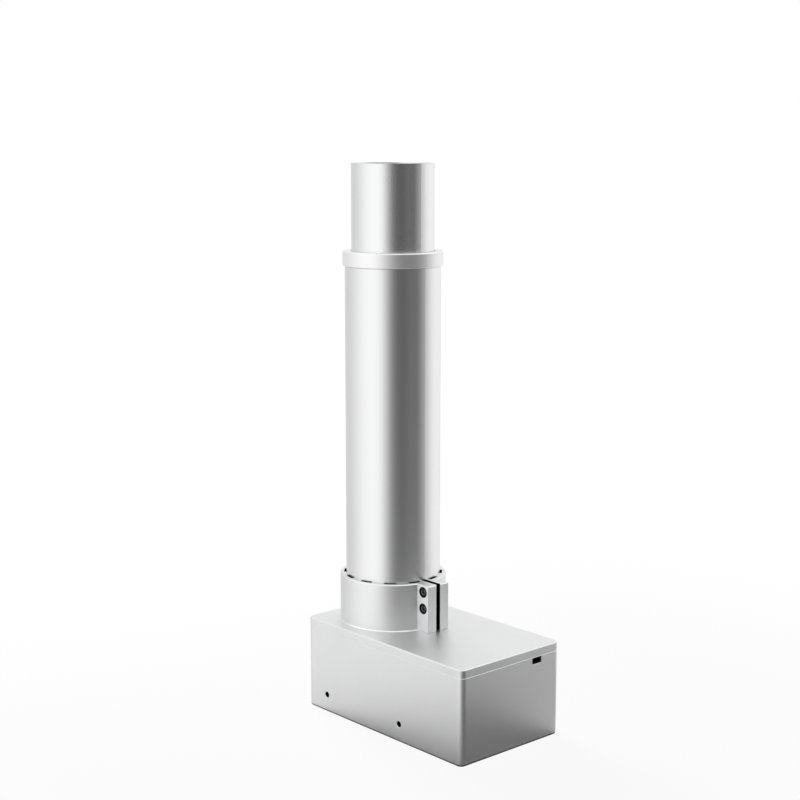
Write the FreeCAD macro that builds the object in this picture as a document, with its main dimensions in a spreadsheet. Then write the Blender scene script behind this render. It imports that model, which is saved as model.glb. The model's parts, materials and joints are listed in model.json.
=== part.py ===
"""Electric lifting column: a keyed tube pair on a closed box that holds the worm drive.

Millimetres, +Z up. The origin is on the column's axis, on the underside of the box. +X points to the
end of the box with the socket, and -Y to the long side whose collar screws are seen.
"""

import FreeCAD, Part
import math
import os
import re
import Sketcher

SIZES = {
    # Closed box
    "box_length": 226,
    "box_width": 132,
    "box_height": 94,
    "box_back": 56.5,
    "box_wall": 5,
    "box_floor": 5,
    "lid_thickness": 8.3,
    "corner_radius": 6,
    "foot_round": 2,
    "seam_bevel": 0.5,
    "lid_bevel": 0.8,
    "rim_width": 2.5,
    "rim_depth": 4,
    "rim_gap": 0.2,
    "post_radius": 6.5,
    "post_inset": 9,
    "rim_play": 0.3,
    "rim_relief": 1,
    "case_head_seat": 11,
    "case_screw_grip": 5,
    # Screws: a radius is half the thread's size, and each head follows from it
    "board_screw_radius": 1.5,
    "bell_screw_radius": 1.5,
    "small_screw_radius": 2,
    "case_screw_radius": 2.5,
    "clamp_screw_radius": 3,
    "stop_bolt_radius": 3,
    "cap_head_ratio": 1.7,
    "cap_head_rise": 2,
    "low_head_rise": 1.4,
    "hex_head_ratio": 1.9,
    "socket_ratio": 0.94,
    "screw_gap": 0.25,
    "head_gap": 0.4,
    "overshoot": 1,
    "end_bevel": 0.5,
    # Holes in the long sides
    "side_hole_radius": 3,
    "side_hole_bevel": 0.5,
    "side_hole_spacing": 109.6,
    "side_hole_middle": 27.8,
    "side_hole_height": 17.9,
    "side_boss_radius": 7,
    "side_boss_depth": 3,
    # Socket in the short end
    "port_width": 12.4,
    "port_height": 6.4,
    "port_inset": 31.6,
    "port_drop": 12.3,
    "port_gap": 0.2,
    "port_bevel": 0.25,
    "socket_wall": 0.75,
    "socket_width": 16,
    "socket_length": 13,
    "socket_inset": 0.6,
    "socket_head_gap": 0.4,
    "socket_back": 3,
    "contact_count": 4,
    "contact_pitch": 2.4,
    "contact_width": 1.2,
    "contact_thickness": 0.25,
    "contact_setback": 2,
    # Clamp collar
    "collar_diameter": 107,
    "collar_height": 47.6,
    "collar_gap": 0.1,
    "collar_bevel": 1,
    "collar_foot_bevel": 0.3,
    "lug_bevel": 0.5,
    "flute_count": 12,
    "flute_angle": 15,
    "flute_depth": 2.3,
    "slit_width": 5,
    "slit_y": 0,
    "lug_reach": 67.8,
    "lug_near": -13.6,
    "lug_far": 13.6,
    "clamp_screw_x": 59.9,
    "clamp_screw_low": 23.6,
    "clamp_screw_pitch": 16.8,
    "clamp_seat_depth": 6.6,
    "clamp_screw_inset": 1,
    "collar_screw_circle": 50.9,
    "collar_screw_angle": 60,
    "collar_head_seat": 4.4,
    "collar_screw_grip": 7,
    "collar_thread_depth": 8,
    # Outer tube and what closes it
    "tube_diameter": 95,
    "tube_wall": 3.5,
    "tube_length": 365,
    "key_count": 4,
    "key_angle": 10,
    "key_depth": 1.2,
    "key_gap": 0.3,
    "slide_gap": 0.3,
    "ring_diameter": 99.6,
    "ring_height": 14.4,
    "ring_skirt": 6.2,
    "ring_bevel": 0.9,
    "ring_clearance": 0.6,
    "bush_length": 40,
    "bush_flange": 2.5,
    "wiper_height": 3.2,
    "wiper_depth": 3,
    "wiper_start": 1.2,
    # Inner tube
    "lift_diameter": 82,
    "lift_wall": 3,
    "lift_length": 364.4,
    "lift_exposed": 85.2,
    "channel_circle": 32.5,
    "channel_radius": 6,
    "channel_bore": 2.5,
    "channel_head_seat": 4,
    "guide_length": 40,
    "guide_stud_radius": 3,
    "guide_stud_height": 20,
    # Top plate
    "plate_thickness": 8,
    "plate_recess": 1,
    "plate_gap": 0.1,
    "plate_hole_circle": 25,
    "plate_hole_radius": 3,
    "plate_screw_length": 18,
    # Nut and its carrier
    "carrier_thickness": 12,
    "carrier_gap": 0.6,
    "foot_screw_length": 24,
    "nut_flange_radius": 23.5,
    "nut_flange": 6,
    "nut_radius": 15,
    "nut_height": 36,
    "nut_gap": 0.25,
    "nut_screw_circle": 19.2,
    "nut_head_seat": 3,
    "nut_screw_length": 8,
    # Lead screw
    "screw_radius": 8,
    "screw_foot": 9,
    "screw_top": 372,
    "screw_collar_radius": 13,
    "screw_collar": 8,
    "wheel_seat_radius": 8.5,
    "lower_journal_radius": 6,
    "upper_journal_radius": 10,
    "stop_radius": 15,
    "stop_thickness": 4,
    "stop_bolt_grip": 14,
    "stop_thread_depth": 16,
    # Worm and wheel
    "gear_module": 2,
    "wheel_teeth": 20,
    "worm_pitch_radius": 10,
    "worm_turns": 3.5,
    "pressure_angle": 20,
    "tooth_play": 0.65,
    "worm_dedendum": 1.2,
    "wheel_dedendum": 1.25,
    "wheel_addendum": 1.5,
    "thread_sink": 0.5,
    "mesh_height": 36,
    "wheel_face": 14,
    "hub_radius": 13,
    "hub_foot": 28,
    "hub_top": 52,
    "worm_hub_radius": 7,
    "shaft_radius": 5,
    "shaft_tail_radius": 4,
    "key_width": 5,
    "key_inset": 2,
    "key_sink": 3,
    "key_rise": 2,
    "pin_radius": 1.5,
    "pin_setback": 4,
    # Bearings
    "bearing_gap": 0.4,
    "clip_angle": 320,
    "wheel_clip_width": 1.2,
    "wheel_clip_sink": 0.6,
    "wheel_clip_rise": 2.5,
    "lower_bearing_radius": 14,
    "lower_bearing_middle": 10,
    "lower_bearing_height": 8,
    "lower_bearing_foot": 10,
    "upper_bearing_radius": 23.5,
    "upper_bearing_middle": 16.8,
    "upper_bearing_height": 14,
    "upper_bearing_foot": 60,
    "bearing_lip": 5.5,
    "bearing_clip_width": 1.6,
    "bearing_clip_gap": 0.2,
    "bearing_clip_sink": 1.2,
    "bearing_clip_reach": 2.5,
    "worm_bearing_radius": 11,
    "worm_bearing_width": 6,
    "rear_bearing_width": 7,
    # Gear case and bearing carrier
    "back_bearing_reach": 24,
    "bearing_setback": 10,
    "gear_case_wall": 5,
    "gear_case_top": 56,
    "wheel_room_gap": 1,
    "wheel_room_depth": 2,
    "lower_room_radius": 16,
    "worm_case_wall": 3,
    "worm_room_gap": 1,
    "worm_end_wall": 6,
    "end_room": 1,
    "web_width": 12,
    "face_thickness": 6,
    "gear_foot": 6,
    "gear_foot_front": 36,
    "gear_foot_back": 38,
    "gear_foot_side": 32,
    "gear_foot_spread": 22,
    "foot_screw_inset": 5,
    "foot_screw_setback": 14,
    "foot_screw_grip": 4,
    "carrier_radius": 30,
    "carrier_flange_radius": 40,
    "carrier_flange": 8,
    "carrier_drop": 1,
    "carrier_screw_grip": 6,
    # Motor
    "motor_radius": 24,
    "motor_room": 35.5,
    "can_wall": 2,
    "bell_thickness": 8,
    "bell_screw_angle": 60,
    "bell_head_gap": 0.4,
    "bell_thread_depth": 5,
    "bolt_inset": 4.6,
    "bolt_end_gap": 2,
    "cap_length": 28,
    "cap_wall": 4,
    "seat_wall": 2,
    "magnet_wall": 4,
    "magnet_gap": 1,
    "magnet_angle": 130,
    "magnet_overhang": 2,
    "end_turn_room": 10,
    "can_end_room": 12,
    "slot_count": 8,
    "slot_width": 3,
    "core_hub": 4,
    "end_turn": 6,
    "end_turn_gap": 2,
    "commutator_radius": 10,
    "commutator_lead": 2,
    "commutator_length": 15,
    "brush_width": 5,
    "brush_play": 0.2,
    "brush_room": 2,
    "guide_gap": 2,
    "guide_wall": 2,
    "shaft_tail": 2,
    # Shaft sensor
    "encoder_length": 4,
    "sensor_post_spread": 11,
    "sensor_post_radius": 2,
    "sensor_post_length": 8,
    "sensor_half_width": 14,
    "sensor_half_height": 6,
    "sensor_thickness": 1.2,
    "chip_half_width": 2.5,
    "chip_half_height": 2,
    "chip_thickness": 1,
    # Control board
    "board_start": 58,
    "board_front_gap": 9.5,
    "board_side_gap": 16,
    "board_thickness": 1.6,
    "board_drop": 4.1,
    "board_inset": 6,
    "board_screw_back": 28,
    "standoff_radius": 3.2,
    "standoff_bore": 5,
    "standoff_grip": 4.5,
    "board_stud": 3.6,
    "board_stud_hole": 4,
    "capacitor_count": 3,
    "capacitor_radius": 8,
    "capacitor_height": 25,
    "capacitor_inset": 14,
    "capacitor_pitch": 20,
    "capacitor_side": 18,
    "relay_count": 2,
    "relay_length": 16,
    "relay_width": 12,
    "relay_height": 15,
    "relay_inset": 8,
    "relay_pitch": 22,
    "relay_side": 28,
    "terminal_gap": 8,
    "terminal_length": 10,
    "terminal_half_width": 16,
    "terminal_height": 10,
    "lead_radius": 1.25,
    "lead_spread": 10,
    "lead_height": 14,
    "lead_bend": 6,
}

PLACES = {
    "box_front": "box_length - box_back",
    "half_width": "box_width / 2",
    "lid_foot": "box_height - lid_thickness",
    "inner_half_width": "half_width - box_wall",
    "post_back": "post_inset - box_back",
    "post_front": "box_front - post_inset",
    "post_side": "half_width - post_inset",
    "side_hole_back": "side_hole_middle - side_hole_spacing / 2",
    "side_hole_front": "side_hole_middle + side_hole_spacing / 2",
    "port_y": "half_width - port_inset",
    "port_z": "box_height - port_drop",
    "port_foot": "port_z - port_height / 2",
    "collar_radius": "collar_diameter / 2",
    "collar_top": "box_height + collar_height",
    "tube_radius": "tube_diameter / 2",
    "tube_bore": "tube_radius - tube_wall",
    "tube_top": "box_height + tube_length",
    "collar_bore": "tube_radius + collar_gap",
    "flute_radius": "collar_bore + flute_depth",
    "clamp_low": "box_height + clamp_screw_low",
    "clamp_high": "clamp_low + clamp_screw_pitch",
    "lift_radius": "lift_diameter / 2",
    "lift_bore": "lift_radius - lift_wall",
    "ring_radius": "ring_diameter / 2",
    "ring_foot": "tube_top - ring_skirt",
    "ring_top": "ring_foot + ring_height",
    "ring_bore": "lift_radius + ring_clearance",
    "bush_top": "tube_top + bush_flange",
    "wiper_foot": "bush_top + wiper_start",
    "lift_top": "ring_top + lift_exposed",
    "lift_foot": "lift_top - lift_length",
    "plate_top": "lift_top - plate_recess",
    "plate_foot": "plate_top - plate_thickness",
    "channel_offset": "channel_circle * cos(45)",
    "carrier_foot": "lift_foot - carrier_thickness",
    "nut_top": "carrier_foot + nut_height",
    "wheel_pitch_radius": "gear_module * wheel_teeth / 2",
    "worm_y": "wheel_pitch_radius + worm_pitch_radius",
    "worm_tip": "worm_pitch_radius + gear_module",
    "worm_root": "worm_pitch_radius - worm_dedendum * gear_module",
    "tooth_pitch": "pi * gear_module",
    "wheel_tip": "wheel_pitch_radius + wheel_addendum * gear_module",
    "wheel_root": "wheel_pitch_radius - wheel_dedendum * gear_module",
    "wheel_twist": "wheel_face / 2 * gear_module / (2 * worm_pitch_radius * wheel_pitch_radius)",
    "wheel_foot": "mesh_height - wheel_face / 2",
    "worm_half": "tooth_pitch * (worm_turns + 0.5) / 2",
    "wheel_room_radius": "wheel_tip + wheel_room_gap",
    "gear_case_radius": "wheel_room_radius + gear_case_wall",
    "worm_room_radius": "worm_tip + worm_room_gap",
    "worm_case_radius": "worm_room_radius + worm_case_wall",
    "gear_foot_far": "worm_y + gear_foot_spread",
    "back_bearing": "-back_bearing_reach",
    "shaft_bearing_middle": "(worm_bearing_radius + shaft_radius) / 2",
    "shaft_room": "shaft_bearing_middle + bearing_gap",
    "bell_start": "gear_foot_front",
    "can_start": "bell_start + bell_thickness",
    "cap_end": "box_front - motor_room",
    "cap_start": "cap_end - cap_length",
    "front_bearing": "bell_start - bearing_setback",
    "rear_seat": "cap_end - cap_wall - rear_bearing_width",
    "armature_radius": "motor_radius - can_wall - magnet_wall - magnet_gap",
    "armature_start": "can_start + end_turn_room",
    "armature_length": "cap_start - can_end_room - armature_start",
    "slot_floor": "shaft_radius + core_hub",
    "commutator_start": "cap_start - commutator_lead",
    "commutator_end": "commutator_start + commutator_length",
    "brush_middle": "(commutator_start + commutator_end) / 2",
    "brush_start": "commutator_radius + brush_play",
    "guide_start": "commutator_radius + guide_gap",
    "brush_end": "motor_radius - cap_wall - brush_room",
    "shaft_end": "cap_end + shaft_tail",
    "motor_bolt_circle": "motor_radius - bolt_inset",
    "bell_screw_circle": "worm_case_radius + bell_screw_radius * hex_head_ratio + bell_head_gap",
    "board_top": "port_z - board_drop",
    "board_foot": "board_top - board_thickness",
    "board_end": "box_front - board_front_gap",
    "board_half_width": "half_width - board_side_gap",
    "terminal_start": "cap_end + terminal_gap",
    "carrier_seat": "lid_foot - carrier_flange",
    "carrier_screw_circle": "(carrier_radius + carrier_flange_radius) / 2",
    "clip_foot": "upper_bearing_foot + upper_bearing_height + bearing_clip_gap",
}

# Sketches start from shapes of this size, and lengths closer than this are the same
START = 10
NEAR = 1e-6

doc = FreeCAD.newDocument("LiftingColumn")
nodes = {}


def write_sizes():
    """The sheet of driving sizes, and the places worked out from them."""
    sheet = doc.addObject("Spreadsheet::Sheet", "Sizes")
    for row, (name, value) in enumerate(SIZES.items(), start=1):
        sheet.set(f"A{row}", name)
        sheet.set(f"B{row}", str(value))
        sheet.setAlias(f"B{row}", name)
    doc.recompute()
    places = doc.addObject("App::VarSet", "Places")
    for name, text in PLACES.items():
        places.addProperty("App::PropertyFloat", name, "Places")
        places.setExpression(name, bound(text))
    doc.recompute()


def bound(text):
    """An expression with each size and place named after the object that holds it."""

    def owner(word):
        name = word.group(0)
        if name in SIZES:
            return "Sizes." + name
        if name in PLACES:
            return "Places." + name
        return name

    return re.sub(r"[A-Za-z_][A-Za-z_0-9]*", owner, text)


def bind(thing, **texts):
    """Properties of an object, each set by an expression."""
    for name, text in texts.items():
        thing.setExpression(name, bound(text))
    return thing


AXES = {
    "Z": FreeCAD.Rotation(),
    "-Z": FreeCAD.Rotation(FreeCAD.Vector(1, 0, 0), 180),
    "X": FreeCAD.Rotation(FreeCAD.Vector(0, 1, 0), 90),
    "-X": FreeCAD.Rotation(FreeCAD.Vector(0, 1, 0), -90),
    "Y": FreeCAD.Rotation(FreeCAD.Vector(1, 0, 0), -90),
    "-Y": FreeCAD.Rotation(FreeCAD.Vector(1, 0, 0), 90),
}


def place(thing, x="0", y="0", z="0", axis="Z"):
    """A placement whose own Z axis points along the named one."""
    thing.Placement.Rotation = AXES[axis]
    for letter, text in (("x", x), ("y", y), ("z", z)):
        thing.setExpression("Placement.Base." + letter, bound(text))
    return thing


def node(name, thing):
    """Names a finished sub-part."""
    thing.Label = name
    nodes[name] = thing
    return thing


# Part primitives and their combinations


def cylinder(name, radius, height, x="0", y="0", z="0", axis="Z", angle="360"):
    solid = doc.addObject("Part::Cylinder", name)
    bind(solid, Radius=radius, Height=height, Angle=angle)
    return place(solid, x, y, z, axis)


def block(name, x, y, z):
    """A box between pairs of expressions."""
    solid = doc.addObject("Part::Box", name)
    bind(
        solid,
        Length=f"({x[1]}) - ({x[0]})",
        Width=f"({y[1]}) - ({y[0]})",
        Height=f"({z[1]}) - ({z[0]})",
    )
    return place(solid, x[0], y[0], z[0])


def hexagon(name, radius, height, x="0", y="0", z="0", axis="Z"):
    solid = doc.addObject("Part::Prism", name)
    solid.Polygon = 6
    bind(solid, Circumradius=radius, Height=height)
    return place(solid, x, y, z, axis)


def fuse(name, solids):
    joined = doc.addObject("Part::MultiFuse", name)
    joined.Shapes = solids
    joined.Refine = True
    return joined


def cut(name, base, tools):
    left = doc.addObject("Part::Cut", name)
    left.Base = base
    left.Tool = tools[0] if len(tools) == 1 else fuse(name + "_tools", tools)
    left.Refine = True
    return left


def group(name, solids):
    """Like pieces that stay separate solids in one node."""
    together = doc.addObject("Part::Compound", name)
    together.Links = solids
    return node(name, together)


def behind(x, y, z, axis, distance):
    """The point that lies this far back from another, against an axis."""
    point = {"X": x, "Y": y, "Z": z}
    sign = "+" if axis.startswith("-") else "-"
    point[axis[-1]] = f"{point[axis[-1]]} {sign} {distance}"
    return point["X"], point["Y"], point["Z"]


def hex_screw(name, radius, length, x="0", y="0", z="0", axis="Z"):
    """A hexagon screw whose head's seat is at the point, with the shank along the axis."""
    rise = f"{radius} * low_head_rise"
    head = hexagon(name + "_head", f"{radius} * hex_head_ratio", rise, *behind(x, y, z, axis, rise), axis)
    shank = cylinder(name + "_shank", radius, length, x, y, z, axis)
    return fuse(name, [head, shank])


def cap_screw(name, radius, length, x, y, z, axis, rise="cap_head_rise"):
    """A socket screw whose head's seat is at the point, with the shank along the axis."""
    crown = behind(x, y, z, axis, f"{radius} * {rise}")
    head = cylinder(name + "_head", f"{radius} * cap_head_ratio", f"{radius} * {rise}", *crown, axis)
    shank = cylinder(name + "_shank", radius, length, x, y, z, axis)
    socket = hexagon(name + "_socket", f"{radius} * socket_ratio", radius, *crown, axis)
    return cut(name, fuse(name + "_solid", [head, shank]), [socket])


# Bodies made from sketches


def new_body(name):
    body = doc.addObject("PartDesign::Body", name)
    return node(name, body)


def sketch_on(body, role, offset="0", turn=None):
    """A sketch on one of the body's own planes, moved along the plane's normal."""
    plane = next(part for part in body.Origin.OriginFeatures if part.Role == role)
    sketch = body.newObject("Sketcher::SketchObject", body.Name + "_sketch")
    sketch.AttachmentSupport = (plane, [""])
    sketch.MapMode = "FlatFace"
    sketch.setExpression("AttachmentOffset.Base.z", bound(offset))
    if turn is not None:
        sketch.setExpression("AttachmentOffset.Rotation.Angle", bound(turn))
    return sketch


def hold(sketch, kind, geometry, corner, text):
    """A dimension from the sketch's origin to a point, or a radius."""
    if kind == "Radius":
        number = sketch.addConstraint(Sketcher.Constraint(kind, geometry, 1.0))
    else:
        number = sketch.addConstraint(Sketcher.Constraint(kind, -1, 1, geometry, corner, 1.0))
    sketch.setExpression(f"Constraints[{number}]", bound(text))


def outline(sketch, points):
    """A closed outline of straight lines whose corners are pairs of expressions."""
    count = len(points)
    start = []
    for index in range(count):
        angle = 2 * math.pi * index / count
        start.append(FreeCAD.Vector(START * math.cos(angle), START * math.sin(angle), 0))
    first = sketch.GeometryCount
    for index in range(count):
        sketch.addGeometry(Part.LineSegment(start[index], start[(index + 1) % count]), False)
    for index, (across, up) in enumerate(points):
        line = first + index
        following = first + (index + 1) % count
        sketch.addConstraint(Sketcher.Constraint("Coincident", line, 2, following, 1))
        hold(sketch, "DistanceX", line, 1, across)
        hold(sketch, "DistanceY", line, 1, up)
    return sketch


def rectangle(sketch, across, up):
    return outline(
        sketch,
        [(across[0], up[0]), (across[1], up[0]), (across[1], up[1]), (across[0], up[1])],
    )


def circle(sketch, across, up, radius):
    rim = Part.Circle(FreeCAD.Vector(START, START, 0), FreeCAD.Vector(0, 0, 1), START)
    number = sketch.addGeometry(rim, False)
    hold(sketch, "Radius", number, 3, radius)
    hold(sketch, "DistanceX", number, 3, across)
    hold(sketch, "DistanceY", number, 3, up)
    return sketch


def feature(body, kind, sketch, **settings):
    made = body.newObject("PartDesign::" + kind, body.Name + "_" + kind.lower())
    if sketch is not None:
        made.Profile = sketch
    for name, value in settings.items():
        setattr(made, name, value)
    return made


def pad(body, sketch, length, **settings):
    return bind(feature(body, "Pad", sketch, **settings), Length=length)


def pocket(body, sketch, depth):
    """A pocket along the sketch plane's normal."""
    return bind(feature(body, "Pocket", sketch, Reversed=True), Length=depth)


def revolve(body, points, kind="Revolution"):
    """An outline of (radius, height) pairs turned about the body's Z axis."""
    profile = outline(sketch_on(body, "XZ_Plane"), points)
    return feature(body, kind, profile, ReferenceAxis=(profile, ["V_Axis"]), Angle=360)


def turned(name, points):
    """A body of one outline turned about its Z axis."""
    body = new_body(name)
    revolve(body, points)
    return body


def ring(name, inner, outer, foot, top):
    return turned(name, [(inner, foot), (outer, foot), (outer, top), (inner, top)])


def pattern(body, features, count):
    """Copies of features, evenly round the body's Z axis."""
    repeated = feature(body, "PolarPattern", None, Originals=features, Angle=360)
    axis = next(part for part in body.Origin.OriginFeatures if part.Role == "Z_Axis")
    repeated.Axis = (axis, [""])
    bind(repeated, Occurrences=count)
    body.Tip = repeated
    return repeated


def wedge(body, kind, radius, height, foot, angle, middle):
    """A cylinder's sector about the body's Z axis, added or taken away."""
    sector = feature(body, kind, None)
    bind(sector, Radius=radius, Height=height, Angle=angle)
    plane = next(part for part in body.Origin.OriginFeatures if part.Role == "XY_Plane")
    sector.AttachmentSupport = (plane, [""])
    sector.MapMode = "FlatFace"
    sector.setExpression("AttachmentOffset.Base.z", bound(foot))
    sector.setExpression("AttachmentOffset.Rotation.Angle", bound(f"({middle}) - ({angle}) / 2"))
    return sector


def edges_where(body, test):
    """Names of the edges of a body's present shape that pass a test of their end points."""
    doc.recompute()
    names = []
    for number, edge in enumerate(body.Tip.Shape.Edges, start=1):
        ends = [vertex.Point for vertex in edge.Vertexes]
        if test(edge, ends):
            names.append(f"Edge{number}")
    return names


def upright(edge, ends):
    return len(ends) == 2 and (ends[0] - ends[1]).cross(FreeCAD.Vector(0, 0, 1)).Length < NEAR


def at_height(height):
    return lambda edge, ends: all(abs(point.z - height) < NEAR for point in ends)


def upright_at(x):
    return lambda edge, ends: upright(edge, ends) and abs(ends[0].x - x) < NEAR


def rim_across_y(radius, distance):
    """Round edges of one radius that lie in a plane this far from the middle plane, on either side."""
    def test(edge, ends):
        curve = edge.Curve
        return (
            isinstance(curve, Part.Circle)
            and abs(curve.Radius - radius) < NEAR
            and abs(abs(curve.Center.y) - distance) < NEAR
        )
    return test


def port_rim(edge, ends):
    """The straight edges round the socket's opening, on the outside of the short end."""
    return all(
        abs(point.x - place_of("box_front")) < NEAR
        and abs(point.y - place_of("port_y")) < place_of("port_width") / 2 + NEAR
        and abs(point.z - place_of("port_foot")) < place_of("port_height") + NEAR
        for point in ends
    )


def dress(body, kind, names, size):
    """A fillet or chamfer on named edges of the body's last feature."""
    base = body.Tip
    made = feature(body, kind, None)
    made.Base = (base, names)
    bind(made, **{"Radius" if kind == "Fillet" else "Size": size})
    return made


def place_of(name):
    """The present value of a size or place."""
    holder = doc.Sizes if name in SIZES else doc.Places
    return float(getattr(holder, name))


# The box

BOX_CORNERS = [
    ("post_back", "-post_side"),
    ("post_front", "-post_side"),
    ("post_front", "post_side"),
    ("post_back", "post_side"),
]
QUARTERS = ((1, 1), (-1, 1), (-1, -1), (1, -1))
COLLAR_SCREWS = [
    (f"{x} * collar_screw_circle * cos(collar_screw_angle)",
     f"{y} * collar_screw_circle * sin(collar_screw_angle)")
    for x, y in QUARTERS
]
CHANNELS = [(f"{x} * channel_offset", f"{y} * channel_offset") for x, y in QUARTERS]
CARRIER_SCREWS = [
    ("carrier_screw_circle", "0"),
    ("0", "carrier_screw_circle"),
    ("-carrier_screw_circle", "0"),
    ("0", "-carrier_screw_circle"),
]
GEARBOX_SCREWS = [
    (x, y)
    for x in ("foot_screw_inset - gear_foot_back", "gear_foot_front - foot_screw_setback")
    for y in ("foot_screw_inset - gear_foot_side", "gear_foot_far - foot_screw_inset")
]
BOARD_SCREWS = [
    (x, f"{side} * (board_half_width - board_inset)")
    for x in ("board_start + board_inset", "board_end - board_screw_back")
    for side in (-1, 1)
]


def base_housing():
    body = new_body("base_housing")
    plan = rectangle(sketch_on(body, "XY_Plane"), ("-box_back", "box_front"), ("-half_width", "half_width"))
    pad(body, plan, "lid_foot")
    dress(body, "Fillet", edges_where(body, upright), "corner_radius")
    dress(body, "Fillet", edges_where(body, at_height(0)), "foot_round")
    dress(body, "Chamfer", edges_where(body, at_height(place_of("lid_foot"))), "seam_bevel")
    room = rectangle(
        sketch_on(body, "XY_Plane", "box_floor"),
        ("box_wall - box_back", "box_front - box_wall"),
        ("-inner_half_width", "inner_half_width"),
    )
    pocket(body, room, "lid_foot - box_floor")
    posts = sketch_on(body, "XY_Plane", "box_floor")
    shanks = sketch_on(body, "XY_Plane")
    heads = sketch_on(body, "XY_Plane")
    for x, y in BOX_CORNERS:
        circle(posts, x, y, "post_radius")
        circle(shanks, x, y, "case_screw_radius + screw_gap")
        circle(heads, x, y, "case_screw_radius * cap_head_ratio + head_gap")
    pad(body, posts, "lid_foot - box_floor")
    pocket(body, shanks, "lid_foot")
    pocket(body, heads, "case_head_seat")
    bosses = sketch_on(body, "XZ_Plane", "inner_half_width - side_boss_depth")
    holes = sketch_on(body, "XZ_Plane", "inner_half_width - side_boss_depth")
    for x in ("side_hole_back", "side_hole_front"):
        circle(bosses, x, "side_hole_height", "side_boss_radius")
        circle(holes, x, "side_hole_height", "side_hole_radius")
    boss = pad(body, bosses, "side_boss_depth")
    hole = pocket(body, holes, "side_boss_depth + box_wall")
    mirrored = feature(body, "Mirrored", None, Originals=[boss, hole])
    mirrored.MirrorPlane = (next(p for p in body.Origin.OriginFeatures if p.Role == "XZ_Plane"), [""])
    body.Tip = mirrored
    port = rectangle(
        sketch_on(body, "YZ_Plane", "box_front - box_wall"),
        ("port_y - port_width / 2", "port_y + port_width / 2"),
        ("port_foot", "port_foot + port_height"),
    )
    pocket(body, port, "box_wall")
    hole_rims = rim_across_y(place_of("side_hole_radius"), place_of("half_width"))
    dress(body, "Chamfer", edges_where(body, hole_rims), "side_hole_bevel")
    dress(body, "Chamfer", edges_where(body, port_rim), "port_bevel")
    threads = sketch_on(body, "XY_Plane", "box_floor - foot_screw_grip")
    for x, y in GEARBOX_SCREWS:
        circle(threads, x, y, "case_screw_radius")
    pocket(body, threads, "foot_screw_grip")


def top_cover():
    body = new_body("top_cover")
    plan = rectangle(
        sketch_on(body, "XY_Plane", "lid_foot"), ("-box_back", "box_front"), ("-half_width", "half_width")
    )
    pad(body, plan, "lid_thickness")
    dress(body, "Fillet", edges_where(body, upright), "corner_radius")
    dress(body, "Chamfer", edges_where(body, at_height(place_of("lid_foot"))), "seam_bevel")
    dress(body, "Chamfer", edges_where(body, at_height(place_of("box_height"))), "lid_bevel")
    rim = sketch_on(body, "XY_Plane", "lid_foot - rim_depth")
    for inset in ("rim_gap", "(rim_gap + rim_width)"):
        rectangle(
            rim,
            (f"box_wall + {inset} - box_back", f"box_front - box_wall - {inset}"),
            (f"{inset} - inner_half_width", f"inner_half_width - {inset}"),
        )
    pad(body, rim, "rim_depth")
    rim_gaps = sketch_on(body, "XY_Plane", "lid_foot - rim_depth")
    for x, y in BOX_CORNERS:
        circle(rim_gaps, x, y, "post_radius + rim_gap + rim_play")
    rectangle(
        rim_gaps,
        ("box_front - box_wall - rim_gap - rim_width - rim_relief", "box_front - box_wall"),
        ("port_y - socket_width / 2 - rim_play", "port_y + socket_width / 2 + rim_play"),
    )
    pocket(body, rim_gaps, "rim_depth")
    pocket(body, circle(sketch_on(body, "XY_Plane", "lid_foot"), "0", "0", "carrier_radius"), "lid_thickness")
    for places, radius, depth in (
        (BOX_CORNERS, "case_screw_radius", "case_screw_grip"),
        (COLLAR_SCREWS, "small_screw_radius + screw_gap", "lid_thickness"),
        (COLLAR_SCREWS, "small_screw_radius * cap_head_ratio + head_gap", "collar_head_seat"),
        (CARRIER_SCREWS, "case_screw_radius", "carrier_screw_grip"),
        (BOARD_SCREWS, "board_screw_radius", "board_stud_hole"),
    ):
        holes = sketch_on(body, "XY_Plane", "lid_foot")
        for x, y in places:
            circle(holes, x, y, radius)
        pocket(body, holes, depth)


def case_screws():
    length = "lid_foot + case_screw_grip - case_head_seat"
    screws = [
        cap_screw(f"case_screw_{number}", "case_screw_radius", length, x, y, "case_head_seat", "Z")
        for number, (x, y) in enumerate(BOX_CORNERS)
    ]
    group("case_screws", screws)


# The column's fixed parts


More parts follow.
